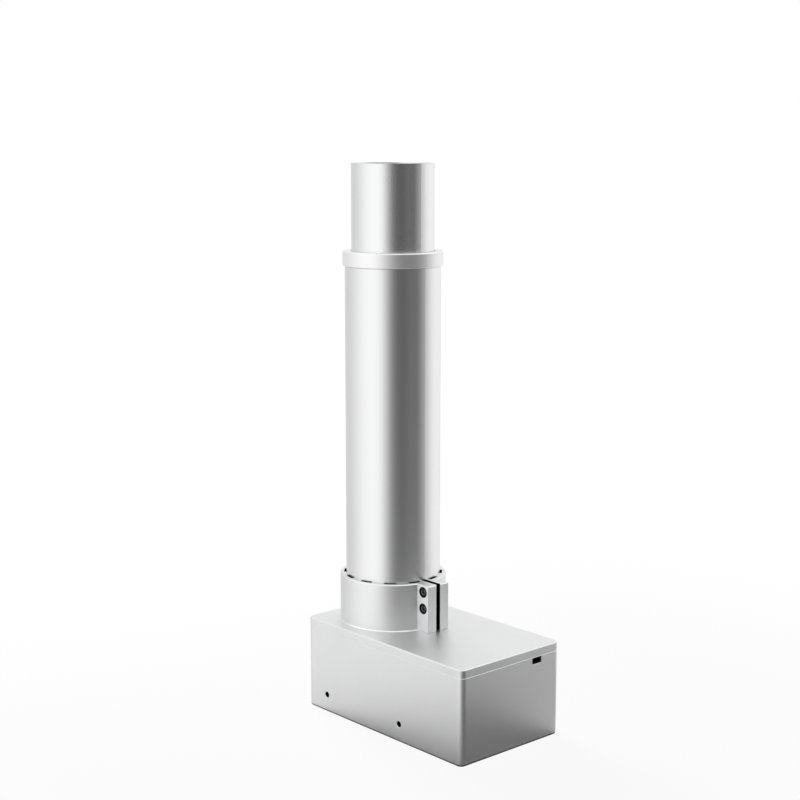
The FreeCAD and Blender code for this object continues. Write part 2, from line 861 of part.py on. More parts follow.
def clamp_collar():
    body = new_body("clamp_collar")
    pad(body, circle(sketch_on(body, "XY_Plane", "box_height"), "0", "0", "collar_radius"), "collar_height")
    lugs = rectangle(
        sketch_on(body, "XY_Plane", "box_height"), ("tube_radius", "lug_reach"), ("lug_near", "lug_far")
    )
    pad(body, lugs, "collar_height")
    dress(body, "Chamfer", edges_where(body, at_height(place_of("collar_top"))), "collar_bevel")
    dress(body, "Chamfer", edges_where(body, at_height(place_of("box_height"))), "collar_foot_bevel")
    pocket(body, circle(sketch_on(body, "XY_Plane", "box_height"), "0", "0", "collar_bore"), "collar_height")
    flute = wedge(
        body,
        "SubtractiveCylinder",
        "flute_radius",
        "collar_height",
        "box_height",
        "flute_angle",
        "180 / flute_count",
    )
    pattern(body, [flute], "flute_count")
    slit = rectangle(
        sketch_on(body, "XY_Plane", "box_height"),
        ("collar_bore - overshoot", "lug_reach"),
        ("slit_y - slit_width / 2", "slit_y + slit_width / 2"),
    )
    pocket(body, slit, "collar_height")
    dress(body, "Chamfer", edges_where(body, upright_at(place_of("lug_reach"))), "lug_bevel")
    for start, depth, radius in (
        ("-(slit_y)", "-(lug_near) + slit_y", "clamp_screw_radius + screw_gap"),
        (
            "-(lug_near) - clamp_seat_depth",
            "clamp_seat_depth",
            "clamp_screw_radius * cap_head_ratio + head_gap",
        ),
        ("-(lug_far)", "lug_far - slit_y", "clamp_screw_radius"),
    ):
        holes = sketch_on(body, "XZ_Plane", start)
        for height in ("clamp_low", "clamp_high"):
            circle(holes, "clamp_screw_x", height, radius)
        pocket(body, holes, depth)
    threads = sketch_on(body, "XY_Plane", "box_height")
    for x, y in COLLAR_SCREWS:
        circle(threads, x, y, "small_screw_radius")
    pocket(body, threads, "collar_thread_depth")


def clamp_screws():
    """Two socket screws that lie along Y and draw the lugs together."""
    seat = "lug_near + clamp_seat_depth"
    length = f"lug_far - clamp_screw_inset - ({seat})"
    screws = [
        cap_screw(f"clamp_screw_{number}", "clamp_screw_radius", length, "clamp_screw_x", seat, height, "Y")
        for number, height in enumerate(("clamp_low", "clamp_high"))
    ]
    group("clamp_screws", screws)


def collar_screws():
    """Screws that come up through the lid into the collar's foot."""
    seat = "lid_foot + collar_head_seat"
    length = "lid_thickness - collar_head_seat + collar_screw_grip"
    screws = [
        cap_screw(f"collar_screw_{number}", "small_screw_radius", length, x, y, seat, "Z")
        for number, (x, y) in enumerate(COLLAR_SCREWS)
    ]
    group("collar_screws", screws)


def outer_tube():
    body = new_body("outer_tube")
    pad(body, circle(sketch_on(body, "XY_Plane", "box_height"), "0", "0", "tube_radius"), "tube_length")
    pocket(body, circle(sketch_on(body, "XY_Plane", "box_height"), "0", "0", "tube_bore"), "tube_length")
    groove = wedge(
        body,
        "SubtractiveCylinder",
        "tube_bore + key_depth",
        "tube_length",
        "box_height",
        "key_angle",
        "0",
    )
    pattern(body, [groove], "key_count")


def cap_ring():
    seal_top = "wiper_foot + wiper_height"
    seal_radius = "lift_radius + wiper_depth"
    turned("cap_ring", [
        ("tube_radius", "ring_foot"),
        ("ring_radius - ring_bevel / 2", "ring_foot"),
        ("ring_radius", "ring_foot + ring_bevel / 2"),
        ("ring_radius", "ring_top - ring_bevel"),
        ("ring_radius - ring_bevel", "ring_top"),
        ("ring_bore", "ring_top"),
        ("ring_bore", seal_top),
        (seal_radius, seal_top),
        (seal_radius, "wiper_foot"),
        ("ring_bore", "wiper_foot"),
        ("ring_bore", "bush_top"),
        ("tube_radius", "bush_top"),
    ])


def wiper_seal():
    lip = "lift_radius + slide_gap"
    outer = "lift_radius + wiper_depth"
    turned("wiper_seal", [
        (outer, "wiper_foot"),
        (outer, "wiper_foot + wiper_height"),
        ("ring_bore", "wiper_foot + wiper_height"),
        (lip, "wiper_foot + wiper_height"),
        ("lift_radius + wiper_depth / 2", "wiper_foot + wiper_height / 2"),
        ("lift_radius + wiper_depth / 2", "wiper_foot"),
    ])


def upper_guide_bush():
    inner = "lift_radius + slide_gap"
    turned("upper_guide_bush", [
        (inner, "tube_top - bush_length"),
        ("tube_bore", "tube_top - bush_length"),
        ("tube_bore", "tube_top"),
        ("tube_radius", "tube_top"),
        ("tube_radius", "bush_top"),
        (inner, "bush_top"),
    ])


# The rising parts


def inner_tube():
    body = new_body("inner_tube")
    wall = sketch_on(body, "XY_Plane", "lift_foot")
    circle(wall, "0", "0", "lift_radius")
    circle(wall, "0", "0", "lift_bore")
    pad(body, wall, "lift_length")
    channels = sketch_on(body, "XY_Plane", "lift_foot")
    bores = sketch_on(body, "XY_Plane", "lift_foot")
    for x, y in CHANNELS:
        circle(channels, x, y, "channel_radius")
        circle(bores, x, y, "channel_bore")
    pad(body, channels, "plate_foot - lift_foot")
    pocket(body, bores, "plate_foot - lift_foot")
    studs = circle(
        sketch_on(body, "XZ_Plane", "-lift_radius"), "0", "lift_foot + guide_stud_height", "guide_stud_radius"
    )
    pocket(body, studs, "lift_diameter")


def top_end_plate():
    body = new_body("top_end_plate")
    face = circle(sketch_on(body, "XY_Plane", "plate_foot"), "0", "0", "lift_bore - plate_gap")
    pad(body, face, "plate_thickness")
    load_holes = sketch_on(body, "XY_Plane", "plate_foot")
    for x, y in (("1", "0"), ("0", "1"), ("-1", "0"), ("0", "-1")):
        circle(load_holes, f"{x} * plate_hole_circle", f"{y} * plate_hole_circle", "plate_hole_radius")
    pocket(body, load_holes, "plate_thickness")
    clear = sketch_on(body, "XY_Plane", "plate_foot")
    heads = sketch_on(body, "XY_Plane", "plate_top - channel_head_seat")
    for x, y in CHANNELS:
        circle(clear, x, y, "channel_bore")
        circle(heads, x, y, "channel_bore * cap_head_ratio + head_gap")
    pocket(body, clear, "plate_thickness")
    pocket(body, heads, "channel_head_seat")


def channel_screws(name, seat, axis, length):
    """Four low screws into the inner tube's screw channels."""
    screws = [
        cap_screw(f"{name}_{number}", "channel_bore", length, x, y, seat, axis, "low_head_rise")
        for number, (x, y) in enumerate(CHANNELS)
    ]
    group(name, screws)


def nut_carrier():
    body = new_body("nut_carrier")
    disc = circle(sketch_on(body, "XY_Plane", "carrier_foot"), "0", "0", "tube_bore - carrier_gap")
    pad(body, disc, "carrier_thickness")
    floor = "carrier_foot"
    pocket(body, circle(sketch_on(body, "XY_Plane", floor), "0", "0", "nut_radius"), "carrier_thickness")
    pocket(body, circle(sketch_on(body, "XY_Plane", floor), "0", "0", "nut_flange_radius"), "nut_flange")
    clear = sketch_on(body, "XY_Plane", floor)
    heads = sketch_on(body, "XY_Plane", floor)
    for x, y in CHANNELS:
        circle(clear, x, y, "channel_bore")
        circle(heads, x, y, "channel_bore * cap_head_ratio + head_gap")
    pocket(body, clear, "carrier_thickness")
    pocket(body, heads, "channel_head_seat")
    threads = sketch_on(body, "XY_Plane", "carrier_foot + nut_flange")
    for x, y in (("nut_screw_circle", "0"), ("-nut_screw_circle", "0")):
        circle(threads, x, y, "small_screw_radius")
    pocket(body, threads, "carrier_thickness - nut_flange")


def lift_nut():
    body = new_body("lift_nut")
    bore = "screw_radius + nut_gap"
    revolve(body, [
        (bore, "carrier_foot"),
        ("nut_flange_radius", "carrier_foot"),
        ("nut_flange_radius", "carrier_foot + nut_flange"),
        ("nut_radius", "carrier_foot + nut_flange"),
        ("nut_radius", "nut_top"),
        (bore, "nut_top"),
    ])
    heads = sketch_on(body, "XY_Plane", "carrier_foot")
    clear = sketch_on(body, "XY_Plane", "carrier_foot")
    for x in ("nut_screw_circle", "-nut_screw_circle"):
        circle(heads, x, "0", "small_screw_radius * cap_head_ratio + head_gap")
        circle(clear, x, "0", "small_screw_radius")
    pocket(body, clear, "nut_flange")
    pocket(body, heads, "nut_head_seat")


def nut_screws():
    seat = "carrier_foot + nut_head_seat"
    screws = [
        cap_screw(f"nut_screw_{number}", "small_screw_radius", "nut_screw_length", x, "0", seat, "Z",
                  "low_head_rise")
        for number, x in enumerate(("nut_screw_circle", "-nut_screw_circle"))
    ]
    group("nut_screws", screws)


def lower_guide_bush():
    """A sleeve round the inner tube's foot with four keys and two studs that snap into the tube."""
    body = new_body("lower_guide_bush")
    outer = circle(sketch_on(body, "XY_Plane", "lift_foot"), "0", "0", "tube_bore - slide_gap")
    pad(body, outer, "guide_length")
    key = wedge(
        body,
        "AdditiveCylinder",
        "tube_bore + key_depth - key_gap",
        "guide_length",
        "lift_foot",
        "key_angle - 2 * key_gap",
        "0",
    )
    pattern(body, [key], "key_count")
    pocket(body, circle(sketch_on(body, "XY_Plane", "lift_foot"), "0", "0", "lift_radius"), "guide_length")
    for side in (1, -1):
        stud = circle(
            sketch_on(body, "XZ_Plane", f"{side} * lift_radius"),
            "0",
            "lift_foot + guide_stud_height",
            "guide_stud_radius",
        )
        pad(body, stud, "lift_wall", Reversed=side == 1)


# The screw and its wheel


def lead_screw():
    body = new_body("lead_screw")
    collar_foot = "upper_bearing_foot + upper_bearing_height"
    revolve(body, [
        ("0", "screw_foot"),
        ("lower_journal_radius - end_bevel", "screw_foot"),
        ("lower_journal_radius", "screw_foot + end_bevel"),
        ("lower_journal_radius", "lower_bearing_foot + lower_bearing_height"),
        ("wheel_seat_radius", "lower_bearing_foot + lower_bearing_height"),
        ("wheel_seat_radius", "hub_top"),
        ("upper_journal_radius", "hub_top"),
        ("upper_journal_radius", collar_foot),
        ("screw_collar_radius", collar_foot),
        ("screw_collar_radius", f"{collar_foot} + screw_collar"),
        ("screw_radius", f"{collar_foot} + screw_collar"),
        ("screw_radius", "screw_top"),
        ("0", "screw_top"),
    ])
    revolve(body, [
        ("wheel_seat_radius - wheel_clip_sink", "hub_foot - wheel_clip_width"),
        ("wheel_seat_radius + overshoot", "hub_foot - wheel_clip_width"),
        ("wheel_seat_radius + overshoot", "hub_foot"),
        ("wheel_seat_radius - wheel_clip_sink", "hub_foot"),
    ], "Groove")
    keyway = rectangle(
        sketch_on(body, "XY_Plane", "hub_foot + key_inset"),
        ("wheel_seat_radius - key_sink", "wheel_seat_radius + overshoot"),
        ("-key_width / 2", "key_width / 2"),
    )
    pocket(body, keyway, "hub_top - hub_foot - 2 * key_inset")
    thread = sketch_on(body, "XY_Plane", "screw_top - stop_thread_depth")
    circle(thread, "0", "0", "stop_bolt_radius")
    pocket(body, thread, "stop_thread_depth")


def worm_wheel():
    """Blank with a throat that follows the worm, then one tooth gap, twisted to the lead and repeated."""
    body = new_body("worm_wheel")
    revolve(body, [
        ("wheel_seat_radius", "hub_foot"),
        ("hub_radius", "hub_foot"),
        ("hub_radius", "wheel_foot"),
        ("wheel_tip", "wheel_foot"),
        ("wheel_tip", "wheel_foot + wheel_face"),
        ("hub_radius", "wheel_foot + wheel_face"),
        ("hub_radius", "hub_top"),
        ("wheel_seat_radius", "hub_top"),
    ])
    throat = circle(
        sketch_on(body, "XZ_Plane"), "worm_y", "mesh_height", "worm_y - wheel_pitch_radius - gear_module"
    )
    feature(body, "Groove", throat, ReferenceAxis=(throat, ["V_Axis"]), Angle=360)
    half_gap = "(tooth_pitch / 4 + tooth_play / 2)"
    slope = "tan(pressure_angle)"
    sections = []
    for height, turn in (("wheel_foot", "90 - wheel_twist * 180 / pi"),
                         ("wheel_foot + wheel_face", "90 + wheel_twist * 180 / pi")):
        section = sketch_on(body, "XY_Plane", height, turn)
        root = f"({half_gap} - (wheel_pitch_radius - wheel_root) * {slope})"
        tip = f"({half_gap} + (wheel_tip + overshoot - wheel_pitch_radius) * {slope})"
        outline(section, [
            ("wheel_root", f"-{root}"),
            ("wheel_tip + overshoot", f"-{tip}"),
            ("wheel_tip + overshoot", tip),
            ("wheel_root", root),
        ])
        sections.append(section)
    gap = feature(body, "SubtractiveLoft", sections[0], Sections=[sections[1]], Ruled=True)
    pattern(body, [gap], "wheel_teeth")
    keyway = rectangle(
        sketch_on(body, "XY_Plane", "hub_foot"),
        ("wheel_seat_radius - overshoot", "wheel_seat_radius + key_rise + key_gap"),
        ("-key_width / 2", "key_width / 2"),
    )
    pocket(body, keyway, "hub_top - hub_foot")


def wheel_key():
    key = block(
        "wheel_key",
        ("wheel_seat_radius - key_sink", "wheel_seat_radius + key_rise"),
        ("-key_width / 2", "key_width / 2"),
        ("hub_foot + key_inset", "hub_top - key_inset"),
    )
    node("wheel_key", key)


def clip(name, inner, outer, foot, thickness):
    """A retaining ring with its gap."""
    band = cylinder(name + "_band", outer, thickness, z=foot, angle="clip_angle")
    hole = cylinder(name + "_hole", inner, thickness, z=foot)
    node(name, cut(name, band, [hole]))


def bearing(name, bore, outer, foot, height, middle):
    """A sealed bearing's two rings, which turn past each other at the middle radius."""
    half = "bearing_gap / 2"
    ring(name + "_inner", bore, f"{middle} - {half}", foot, f"{foot} + {height}")
    ring(name + "_outer", f"{middle} + {half}", outer, foot, f"{foot} + {height}")


def screw_stop():
    seat = "screw_top + stop_thickness"
    ring("stop_washer", "stop_bolt_radius + screw_gap", "stop_radius", "screw_top", seat)
    bolt = hex_screw("stop_bolt", "stop_bolt_radius", "stop_thickness + stop_bolt_grip", z=seat, axis="-Z")
    node("stop_bolt", bolt)


# The worm and what turns with it, drawn along Z and laid along X


def worm():
    body = new_body("worm")
    revolve(body, [
        ("shaft_radius", "back_bearing + worm_bearing_width"),
        ("worm_hub_radius", "back_bearing + worm_bearing_width"),
        ("worm_hub_radius", "-worm_half"),
        ("worm_root", "-worm_half"),
        ("worm_root", "worm_half"),
        ("worm_hub_radius", "worm_half"),
        ("worm_hub_radius", "front_bearing"),
        ("shaft_radius", "front_bearing"),
    ])
    half_tooth = "(tooth_pitch / 4 - tooth_play / 2)"
    slope = "tan(pressure_angle)"
    start = "-(worm_turns / 2) * tooth_pitch"
    root_half = f"({half_tooth} + (worm_pitch_radius - worm_root) * {slope})"
    tip_half = f"({half_tooth} - gear_module * {slope})"
    profile = outline(sketch_on(body, "XZ_Plane"), [
        ("worm_root - thread_sink", f"{start} - {root_half}"),
        ("worm_tip", f"{start} - {tip_half}"),
        ("worm_tip", f"{start} + {tip_half}"),
        ("worm_root - thread_sink", f"{start} + {root_half}"),
    ])
    axis = (profile, ["V_Axis"])
    thread = feature(body, "AdditiveHelix", profile, ReferenceAxis=axis, Mode="pitch-turns-angle")
    bind(thread, Pitch="tooth_pitch", Turns="worm_turns")
    pin_hole(body, "worm_hub_radius")
    along_motor(body)


def pin_hole(body, radius):
    """A cross hole for the pin that drives the worm."""
    hole = circle(sketch_on(body, "XZ_Plane", f"-{radius}"), "0", "worm_half + pin_setback", "pin_radius")
    pocket(body, hole, f"2 * {radius}")


def along_motor(thing):
    return place(thing, "0", "worm_y", "mesh_height", "X")


def motor_ring(name, inner, outer, start, end):
    along_motor(ring(name, inner, outer, start, end))


def motor_shaft():
    body = new_body("motor_shaft")
    revolve(body, [
        ("0", "back_bearing"),
        ("shaft_radius", "back_bearing"),
        ("shaft_radius", "rear_seat"),
        ("shaft_tail_radius", "rear_seat"),
        ("shaft_tail_radius", "shaft_end"),
        ("0", "shaft_end"),
    ])
    pin_hole(body, "shaft_radius")
    along_motor(body)


def worm_pin():
    pin = cylinder("worm_pin", "pin_radius", "2 * worm_hub_radius", "worm_half + pin_setback",
                   "worm_y - worm_hub_radius", "mesh_height", "Y")
    node("worm_pin", pin)


def shaft_bearings():
    """The motor shaft's three bearings, inner rings in one node and outer rings in another."""
    seats = (
        ("back_bearing", "worm_bearing_width", "shaft_radius"),
        ("front_bearing", "worm_bearing_width", "shaft_radius"),
        ("rear_seat", "rear_bearing_width", "shaft_tail_radius"),
    )
    for half in ("inner", "outer"):
        rings = []
        for number, (start, width, shaft) in enumerate(seats):
            bore = shaft if half == "inner" else "shaft_bearing_middle + bearing_gap / 2"
            outer = "shaft_bearing_middle - bearing_gap / 2" if half == "inner" else "worm_bearing_radius"
            name = f"shaft_bearing_{half}_{number}"
            rim = cylinder(name + "_rim", outer, width, start, "worm_y", "mesh_height", "X")
            hole = cylinder(name + "_hole", bore, width, start, "worm_y", "mesh_height", "X")
            rings.append(cut(name, rim, [hole]))
        group(f"shaft_bearing_{half}s", rings)


def armature():
    """Slotted core on the shaft."""
    body = new_body("armature")
    core = sketch_on(body, "XY_Plane", "armature_start")
    circle(core, "0", "0", "armature_radius")
    circle(core, "0", "0", "shaft_radius")
    pad(body, core, "armature_length")
    slot = rectangle(
        sketch_on(body, "XY_Plane", "armature_start"),
        ("slot_floor", "armature_radius + overshoot"),
        ("-slot_width / 2", "slot_width / 2"),
    )
    pattern(body, [pocket(body, slot, "armature_length")], "slot_count")
    along_motor(body)


def windings():
    """Two end turns joined by the bundles that lie in the core's slots."""
    body = new_body("windings")
    for start in ("armature_start - end_turn", "armature_start + armature_length"):
        end_turn = sketch_on(body, "XY_Plane", start)
        circle(end_turn, "0", "0", "armature_radius - end_turn_gap")
        circle(end_turn, "0", "0", "shaft_radius + end_turn_gap")
        pad(body, end_turn, "end_turn")
    bundle = rectangle(
        sketch_on(body, "XY_Plane", "armature_start - overshoot"),
        ("slot_floor", "armature_radius - end_turn_gap"),
        ("-slot_width / 2", "slot_width / 2"),
    )
    pattern(body, [pad(body, bundle, "armature_length + 2 * overshoot")], "slot_count")
    along_motor(body)


def motor_magnets():
    """Two arcs that leave room between them for the long bolts, above and below the armature."""
    magnets = []
    length = "armature_length + 2 * magnet_overhang"
    for number in range(2):
        name = f"motor_magnet_{number}"
        outer = "motor_radius - can_wall"
        sector = cylinder(name + "_arc", outer, length, angle="magnet_angle")
        bore = cylinder(name + "_bore", f"{outer} - magnet_wall", length)
        arc = cut(name, sector, [bore])
        turn = 180 * number + (180 - place_of("magnet_angle")) / 2
        arc.Placement.Rotation = FreeCAD.Rotation(FreeCAD.Vector(1, 0, 0), turn).multiply(AXES["X"])
        start = {"x": "armature_start - magnet_overhang", "y": "worm_y", "z": "mesh_height"}
        for letter, text in start.items():
            arc.setExpression("Placement.Base." + letter, bound(text))
        magnets.append(arc)
    group("motor_magnets", magnets)


def motor_brushes():
    brushes = []
    for number, across in enumerate((
        ("worm_y + brush_start", "worm_y + brush_end"),
        ("worm_y - brush_end", "worm_y - brush_start"),
    )):
        brushes.append(block(
            f"motor_brush_{number}",
            ("brush_middle - brush_width / 2", "brush_middle + brush_width / 2"),
            across,
            ("mesh_height - brush_width / 2", "mesh_height + brush_width / 2"),
        ))
    group("motor_brushes", brushes)


# Castings that carry the drive


def gearbox_case():
    """One casting: wheel housing, worm housing, foot and the face that the motor bolts to."""
    worm_axis = ("worm_y", "mesh_height", "X")
    back = "(back_bearing - worm_end_wall)"
    face = "(gear_foot_front - face_thickness)"
    solid = fuse("gearbox_solid", [
        cylinder("wheel_housing", "gear_case_radius", "gear_case_top - box_floor", z="box_floor"),
        cylinder("worm_housing", "worm_case_radius", f"gear_foot_front - {back}", back, *worm_axis),
        cylinder("motor_face", "motor_radius", "face_thickness", face, *worm_axis),
        block("gearbox_foot", ("-gear_foot_back", "gear_foot_front"), ("-gear_foot_side", "gear_foot_far"),
              ("box_floor", "box_floor + gear_foot")),
        block("worm_web", (back, "gear_foot_front"), ("worm_y - web_width / 2", "worm_y + web_width / 2"),
              ("box_floor", "mesh_height")),
    ])
    worm_room = "(back_bearing + worm_bearing_width)"
    tools = [
        cylinder("wheel_room", "wheel_room_radius", "gear_case_top", z="wheel_foot - wheel_room_depth"),
        cylinder("wheel_room_foot", "lower_room_radius", "gear_case_top",
                 z="lower_bearing_foot + lower_bearing_height"),
        cylinder("lower_bearing_seat", "lower_bearing_radius", "gear_case_top", z="lower_bearing_foot"),
        cylinder("screw_foot_room", "lower_bearing_middle + bearing_gap", "gear_case_top",
                 z="screw_foot - end_room"),
        cylinder("worm_room", "worm_room_radius", f"gear_foot_front - {worm_room}", worm_room, *worm_axis),
        cylinder("worm_bearing_seat", "worm_bearing_radius", "worm_bearing_width + overshoot", "back_bearing",
                 *worm_axis),
        cylinder("shaft_end_room", "shaft_room", "worm_bearing_width", "back_bearing - end_room", *worm_axis),
    ]
    for number, (x, y) in enumerate(GEARBOX_SCREWS):
        tools.append(cylinder(f"foot_hole_{number}", "case_screw_radius", "gear_foot", x, y, "box_floor"))
    for number, (y, z) in enumerate(bell_screw_places()):
        tools.append(cylinder(f"face_hole_{number}", "bell_screw_radius", "face_thickness", face, y, z, "X"))
    node("gearbox_case", cut("gearbox_case", solid, tools))


def bell_screw_places():
    across = "bell_screw_circle * cos(bell_screw_angle)"
    up = "bell_screw_circle * sin(bell_screw_angle)"
    return [
        (f"worm_y {side} {across}", f"mesh_height {height} {up}")
        for side in ("+", "-")
        for height in ("+", "-")
    ]


def bearing_carrier():
    top = "box_height - carrier_drop"
    clip_top = "clip_foot + bearing_clip_width + bearing_clip_gap"
    body = new_body("bearing_carrier")
    revolve(body, [
        ("upper_bearing_radius - bearing_lip", "gear_case_top"),
        ("carrier_radius", "gear_case_top"),
        ("carrier_radius", "carrier_seat"),
        ("carrier_flange_radius", "carrier_seat"),
        ("carrier_flange_radius", "lid_foot"),
        ("carrier_radius", "lid_foot"),
        ("carrier_radius", top),
        ("upper_bearing_radius", top),
        ("upper_bearing_radius", clip_top),
        ("upper_bearing_radius + bearing_clip_sink", clip_top),
        ("upper_bearing_radius + bearing_clip_sink", "clip_foot"),
        ("upper_bearing_radius", "clip_foot"),
        ("upper_bearing_radius", "upper_bearing_foot"),
        ("upper_bearing_radius - bearing_lip", "upper_bearing_foot"),
    ])
    holes = sketch_on(body, "XY_Plane", "carrier_seat")
    for x, y in CARRIER_SCREWS:
        circle(holes, x, y, "case_screw_radius")
    pocket(body, holes, "carrier_flange")


def screw_set(name, places, radius, length, z, axis):
    """Hexagon screws with their seats at one height."""
    screws = [
        hex_screw(f"{name}_{number}", radius, length, x, y, z, axis) for number, (x, y) in enumerate(places)
    ]
    group(name, screws)


def front_bell():
    end = "bell_start + bell_thickness"
    body = new_body("front_bell")
    revolve(body, [
        ("worm_bearing_radius", "front_bearing"),
        ("worm_room_radius", "front_bearing"),
        ("worm_room_radius", "bell_start"),
        ("motor_radius", "bell_start"),
        ("motor_radius", end),
        ("shaft_room", end),
        ("shaft_room", "front_bearing + worm_bearing_width"),
        ("worm_bearing_radius", "front_bearing + worm_bearing_width"),
    ])
    holes = sketch_on(body, "XY_Plane", "bell_start")
    bolts = sketch_on(body, "XY_Plane", "bell_start + bolt_end_gap")
    across = "bell_screw_circle * cos(bell_screw_angle)"
    up = "bell_screw_circle * sin(bell_screw_angle)"
    for x in (up, "-" + up):
        for y in (across, "-" + across):
            circle(holes, x, y, "bell_screw_radius")
    for x in ("motor_bolt_circle", "-motor_bolt_circle"):
        circle(bolts, x, "0", "small_screw_radius")
    pocket(body, holes, "bell_thread_depth")
    pocket(body, bolts, "bell_thickness - bolt_end_gap")
    along_motor(body)


def rear_cap():
    """Cup with the bearing seat, both brush guides and the two posts of the sensor."""
    inside = "motor_radius - cap_wall"
    floor = "cap_end - cap_wall"
    seat_rim = "worm_bearing_radius + seat_wall"
    body = new_body("rear_cap")
    revolve(body, [
        (inside, "cap_start"),
        ("motor_radius", "cap_start"),
        ("motor_radius", "cap_end"),
        ("shaft_room", "cap_end"),
        ("shaft_room", floor),
        ("worm_bearing_radius", floor),
        ("worm_bearing_radius", "rear_seat"),
        (seat_rim, "rear_seat"),
        (seat_rim, floor),
        (inside, floor),
    ])
    for side in (1, -1):
        guide = rectangle(
            sketch_on(body, "XZ_Plane", f"{side} * guide_start"),
            ("-brush_width / 2 - guide_wall", "brush_width / 2 + guide_wall"),
            ("brush_middle - brush_width / 2 - guide_wall", "brush_middle + brush_width / 2 + guide_wall"),
        )
        pad(body, guide, "motor_radius - cap_wall / 2 - guide_start", Reversed=side == -1)
        channel = rectangle(
            sketch_on(body, "XZ_Plane", f"{side} * guide_start"),
            ("-brush_width / 2", "brush_width / 2"),
            ("brush_middle - brush_width / 2", "brush_middle + brush_width / 2"),
        )
        channel_cut = pocket(body, channel, "brush_end - guide_start")
        channel_cut.Reversed = side == 1
    bolts = sketch_on(body, "XY_Plane", "cap_start")
    for x in ("motor_bolt_circle", "-motor_bolt_circle"):
        circle(bolts, x, "0", "small_screw_radius")
    pocket(body, bolts, "cap_length")
    posts = sketch_on(body, "XY_Plane", "cap_end")
    for y in ("sensor_post_spread", "-sensor_post_spread"):
        circle(posts, "0", y, "sensor_post_radius")
    pad(body, posts, "sensor_post_length")
    along_motor(body)


def motor_screws():
    """Long bolts from the rear cap through the can into the front bell."""
    length = "cap_end - bell_start - bolt_end_gap"
    bolts = [
        hex_screw(f"motor_screw_{number}", "small_screw_radius", length, "cap_end", "worm_y", z, "-X")
        for number, z in enumerate(("mesh_height + motor_bolt_circle", "mesh_height - motor_bolt_circle"))
    ]
    group("motor_screws", bolts)


def bell_screws():
    length = "face_thickness + bell_thread_depth"
    screws = [
        hex_screw(f"bell_screw_{number}", "bell_screw_radius", length, "gear_foot_front - face_thickness",
                  y, z, "X")
        for number, (y, z) in enumerate(bell_screw_places())
    ]
    group("bell_screws", screws)


def encoder():
    """Magnet on the shaft's end, and the sensor that faces it on the rear cap's posts."""
    magnet = cylinder("encoder_magnet", "shaft_tail_radius", "encoder_length", "shaft_end", "worm_y",
                      "mesh_height", "X")
    node("encoder_magnet", magnet)
    seat = "(cap_end + sensor_post_length)"
    plate = block("sensor_plate", (seat, f"{seat} + sensor_thickness"),
                  ("worm_y - sensor_half_width", "worm_y + sensor_half_width"),
                  ("mesh_height - sensor_half_height", "mesh_height + sensor_half_height"))
    chip = block("sensor_chip", (f"{seat} - chip_thickness", seat),
                 ("worm_y - chip_half_width", "worm_y + chip_half_width"),
                 ("mesh_height - chip_half_height", "mesh_height + chip_half_height"))
    node("hall_sensor", fuse("hall_sensor", [plate, chip]))


# Control board and socket


def control_board():
    board = block("board_plate", ("board_start", "board_end"), ("-board_half_width", "board_half_width"),
                  ("board_foot", "board_top"))
    holes = [
        cylinder(f"board_hole_{number}", "board_screw_radius", "board_thickness", x, y, "board_foot")
        for number, (x, y) in enumerate(BOARD_SCREWS)
    ]
    node("control_board", cut("control_board", board, holes))
    standoffs = []
    for number, (x, y) in enumerate(BOARD_SCREWS):
        name = f"standoff_{number}"
        pillar = hexagon(name + "_pillar", "standoff_radius", "lid_foot - board_top", x, y, "board_top")
        stud = cylinder(name + "_stud", "board_screw_radius", "board_stud", x, y, "lid_foot")
        bore = cylinder(name + "_bore", "board_screw_radius", "standoff_bore", x, y, "board_top")
        standoffs.append(cut(name, fuse(name + "_solid", [pillar, stud]), [bore]))
    group("board_standoffs", standoffs)
    length = "board_thickness + standoff_grip"
    screw_set("board_screws", BOARD_SCREWS, "board_screw_radius", length, "board_foot", "Z")


def board_parts():
    """Capacitors and relays that hang under the board."""
    capacitors = [
        cylinder(
            f"capacitor_{number}",
            "capacitor_radius",
            "capacitor_height",
            f"board_start + capacitor_inset + {number} * capacitor_pitch",
            "capacitor_side - board_half_width",
            "board_foot - capacitor_height",
        )
        for number in range(SIZES["capacitor_count"])
    ]
    relays = []
    for number in range(SIZES["relay_count"]):
        start = f"board_start + relay_inset + {number} * relay_pitch"
        relays.append(block(
            f"relay_{number}",
            (start, start + " + relay_length"),
            ("relay_side - board_half_width", "relay_side - board_half_width + relay_width"),
            ("board_foot - relay_height", "board_foot"),
        ))
    group("board_parts", capacitors + relays)
    terminal = block(
        "terminal_block",
        ("terminal_start", "terminal_start + terminal_length"),
        ("worm_y - terminal_half_width", "worm_y + terminal_half_width"),
        ("board_foot - terminal_height", "board_foot"),
    )
    node("terminal_block", terminal)


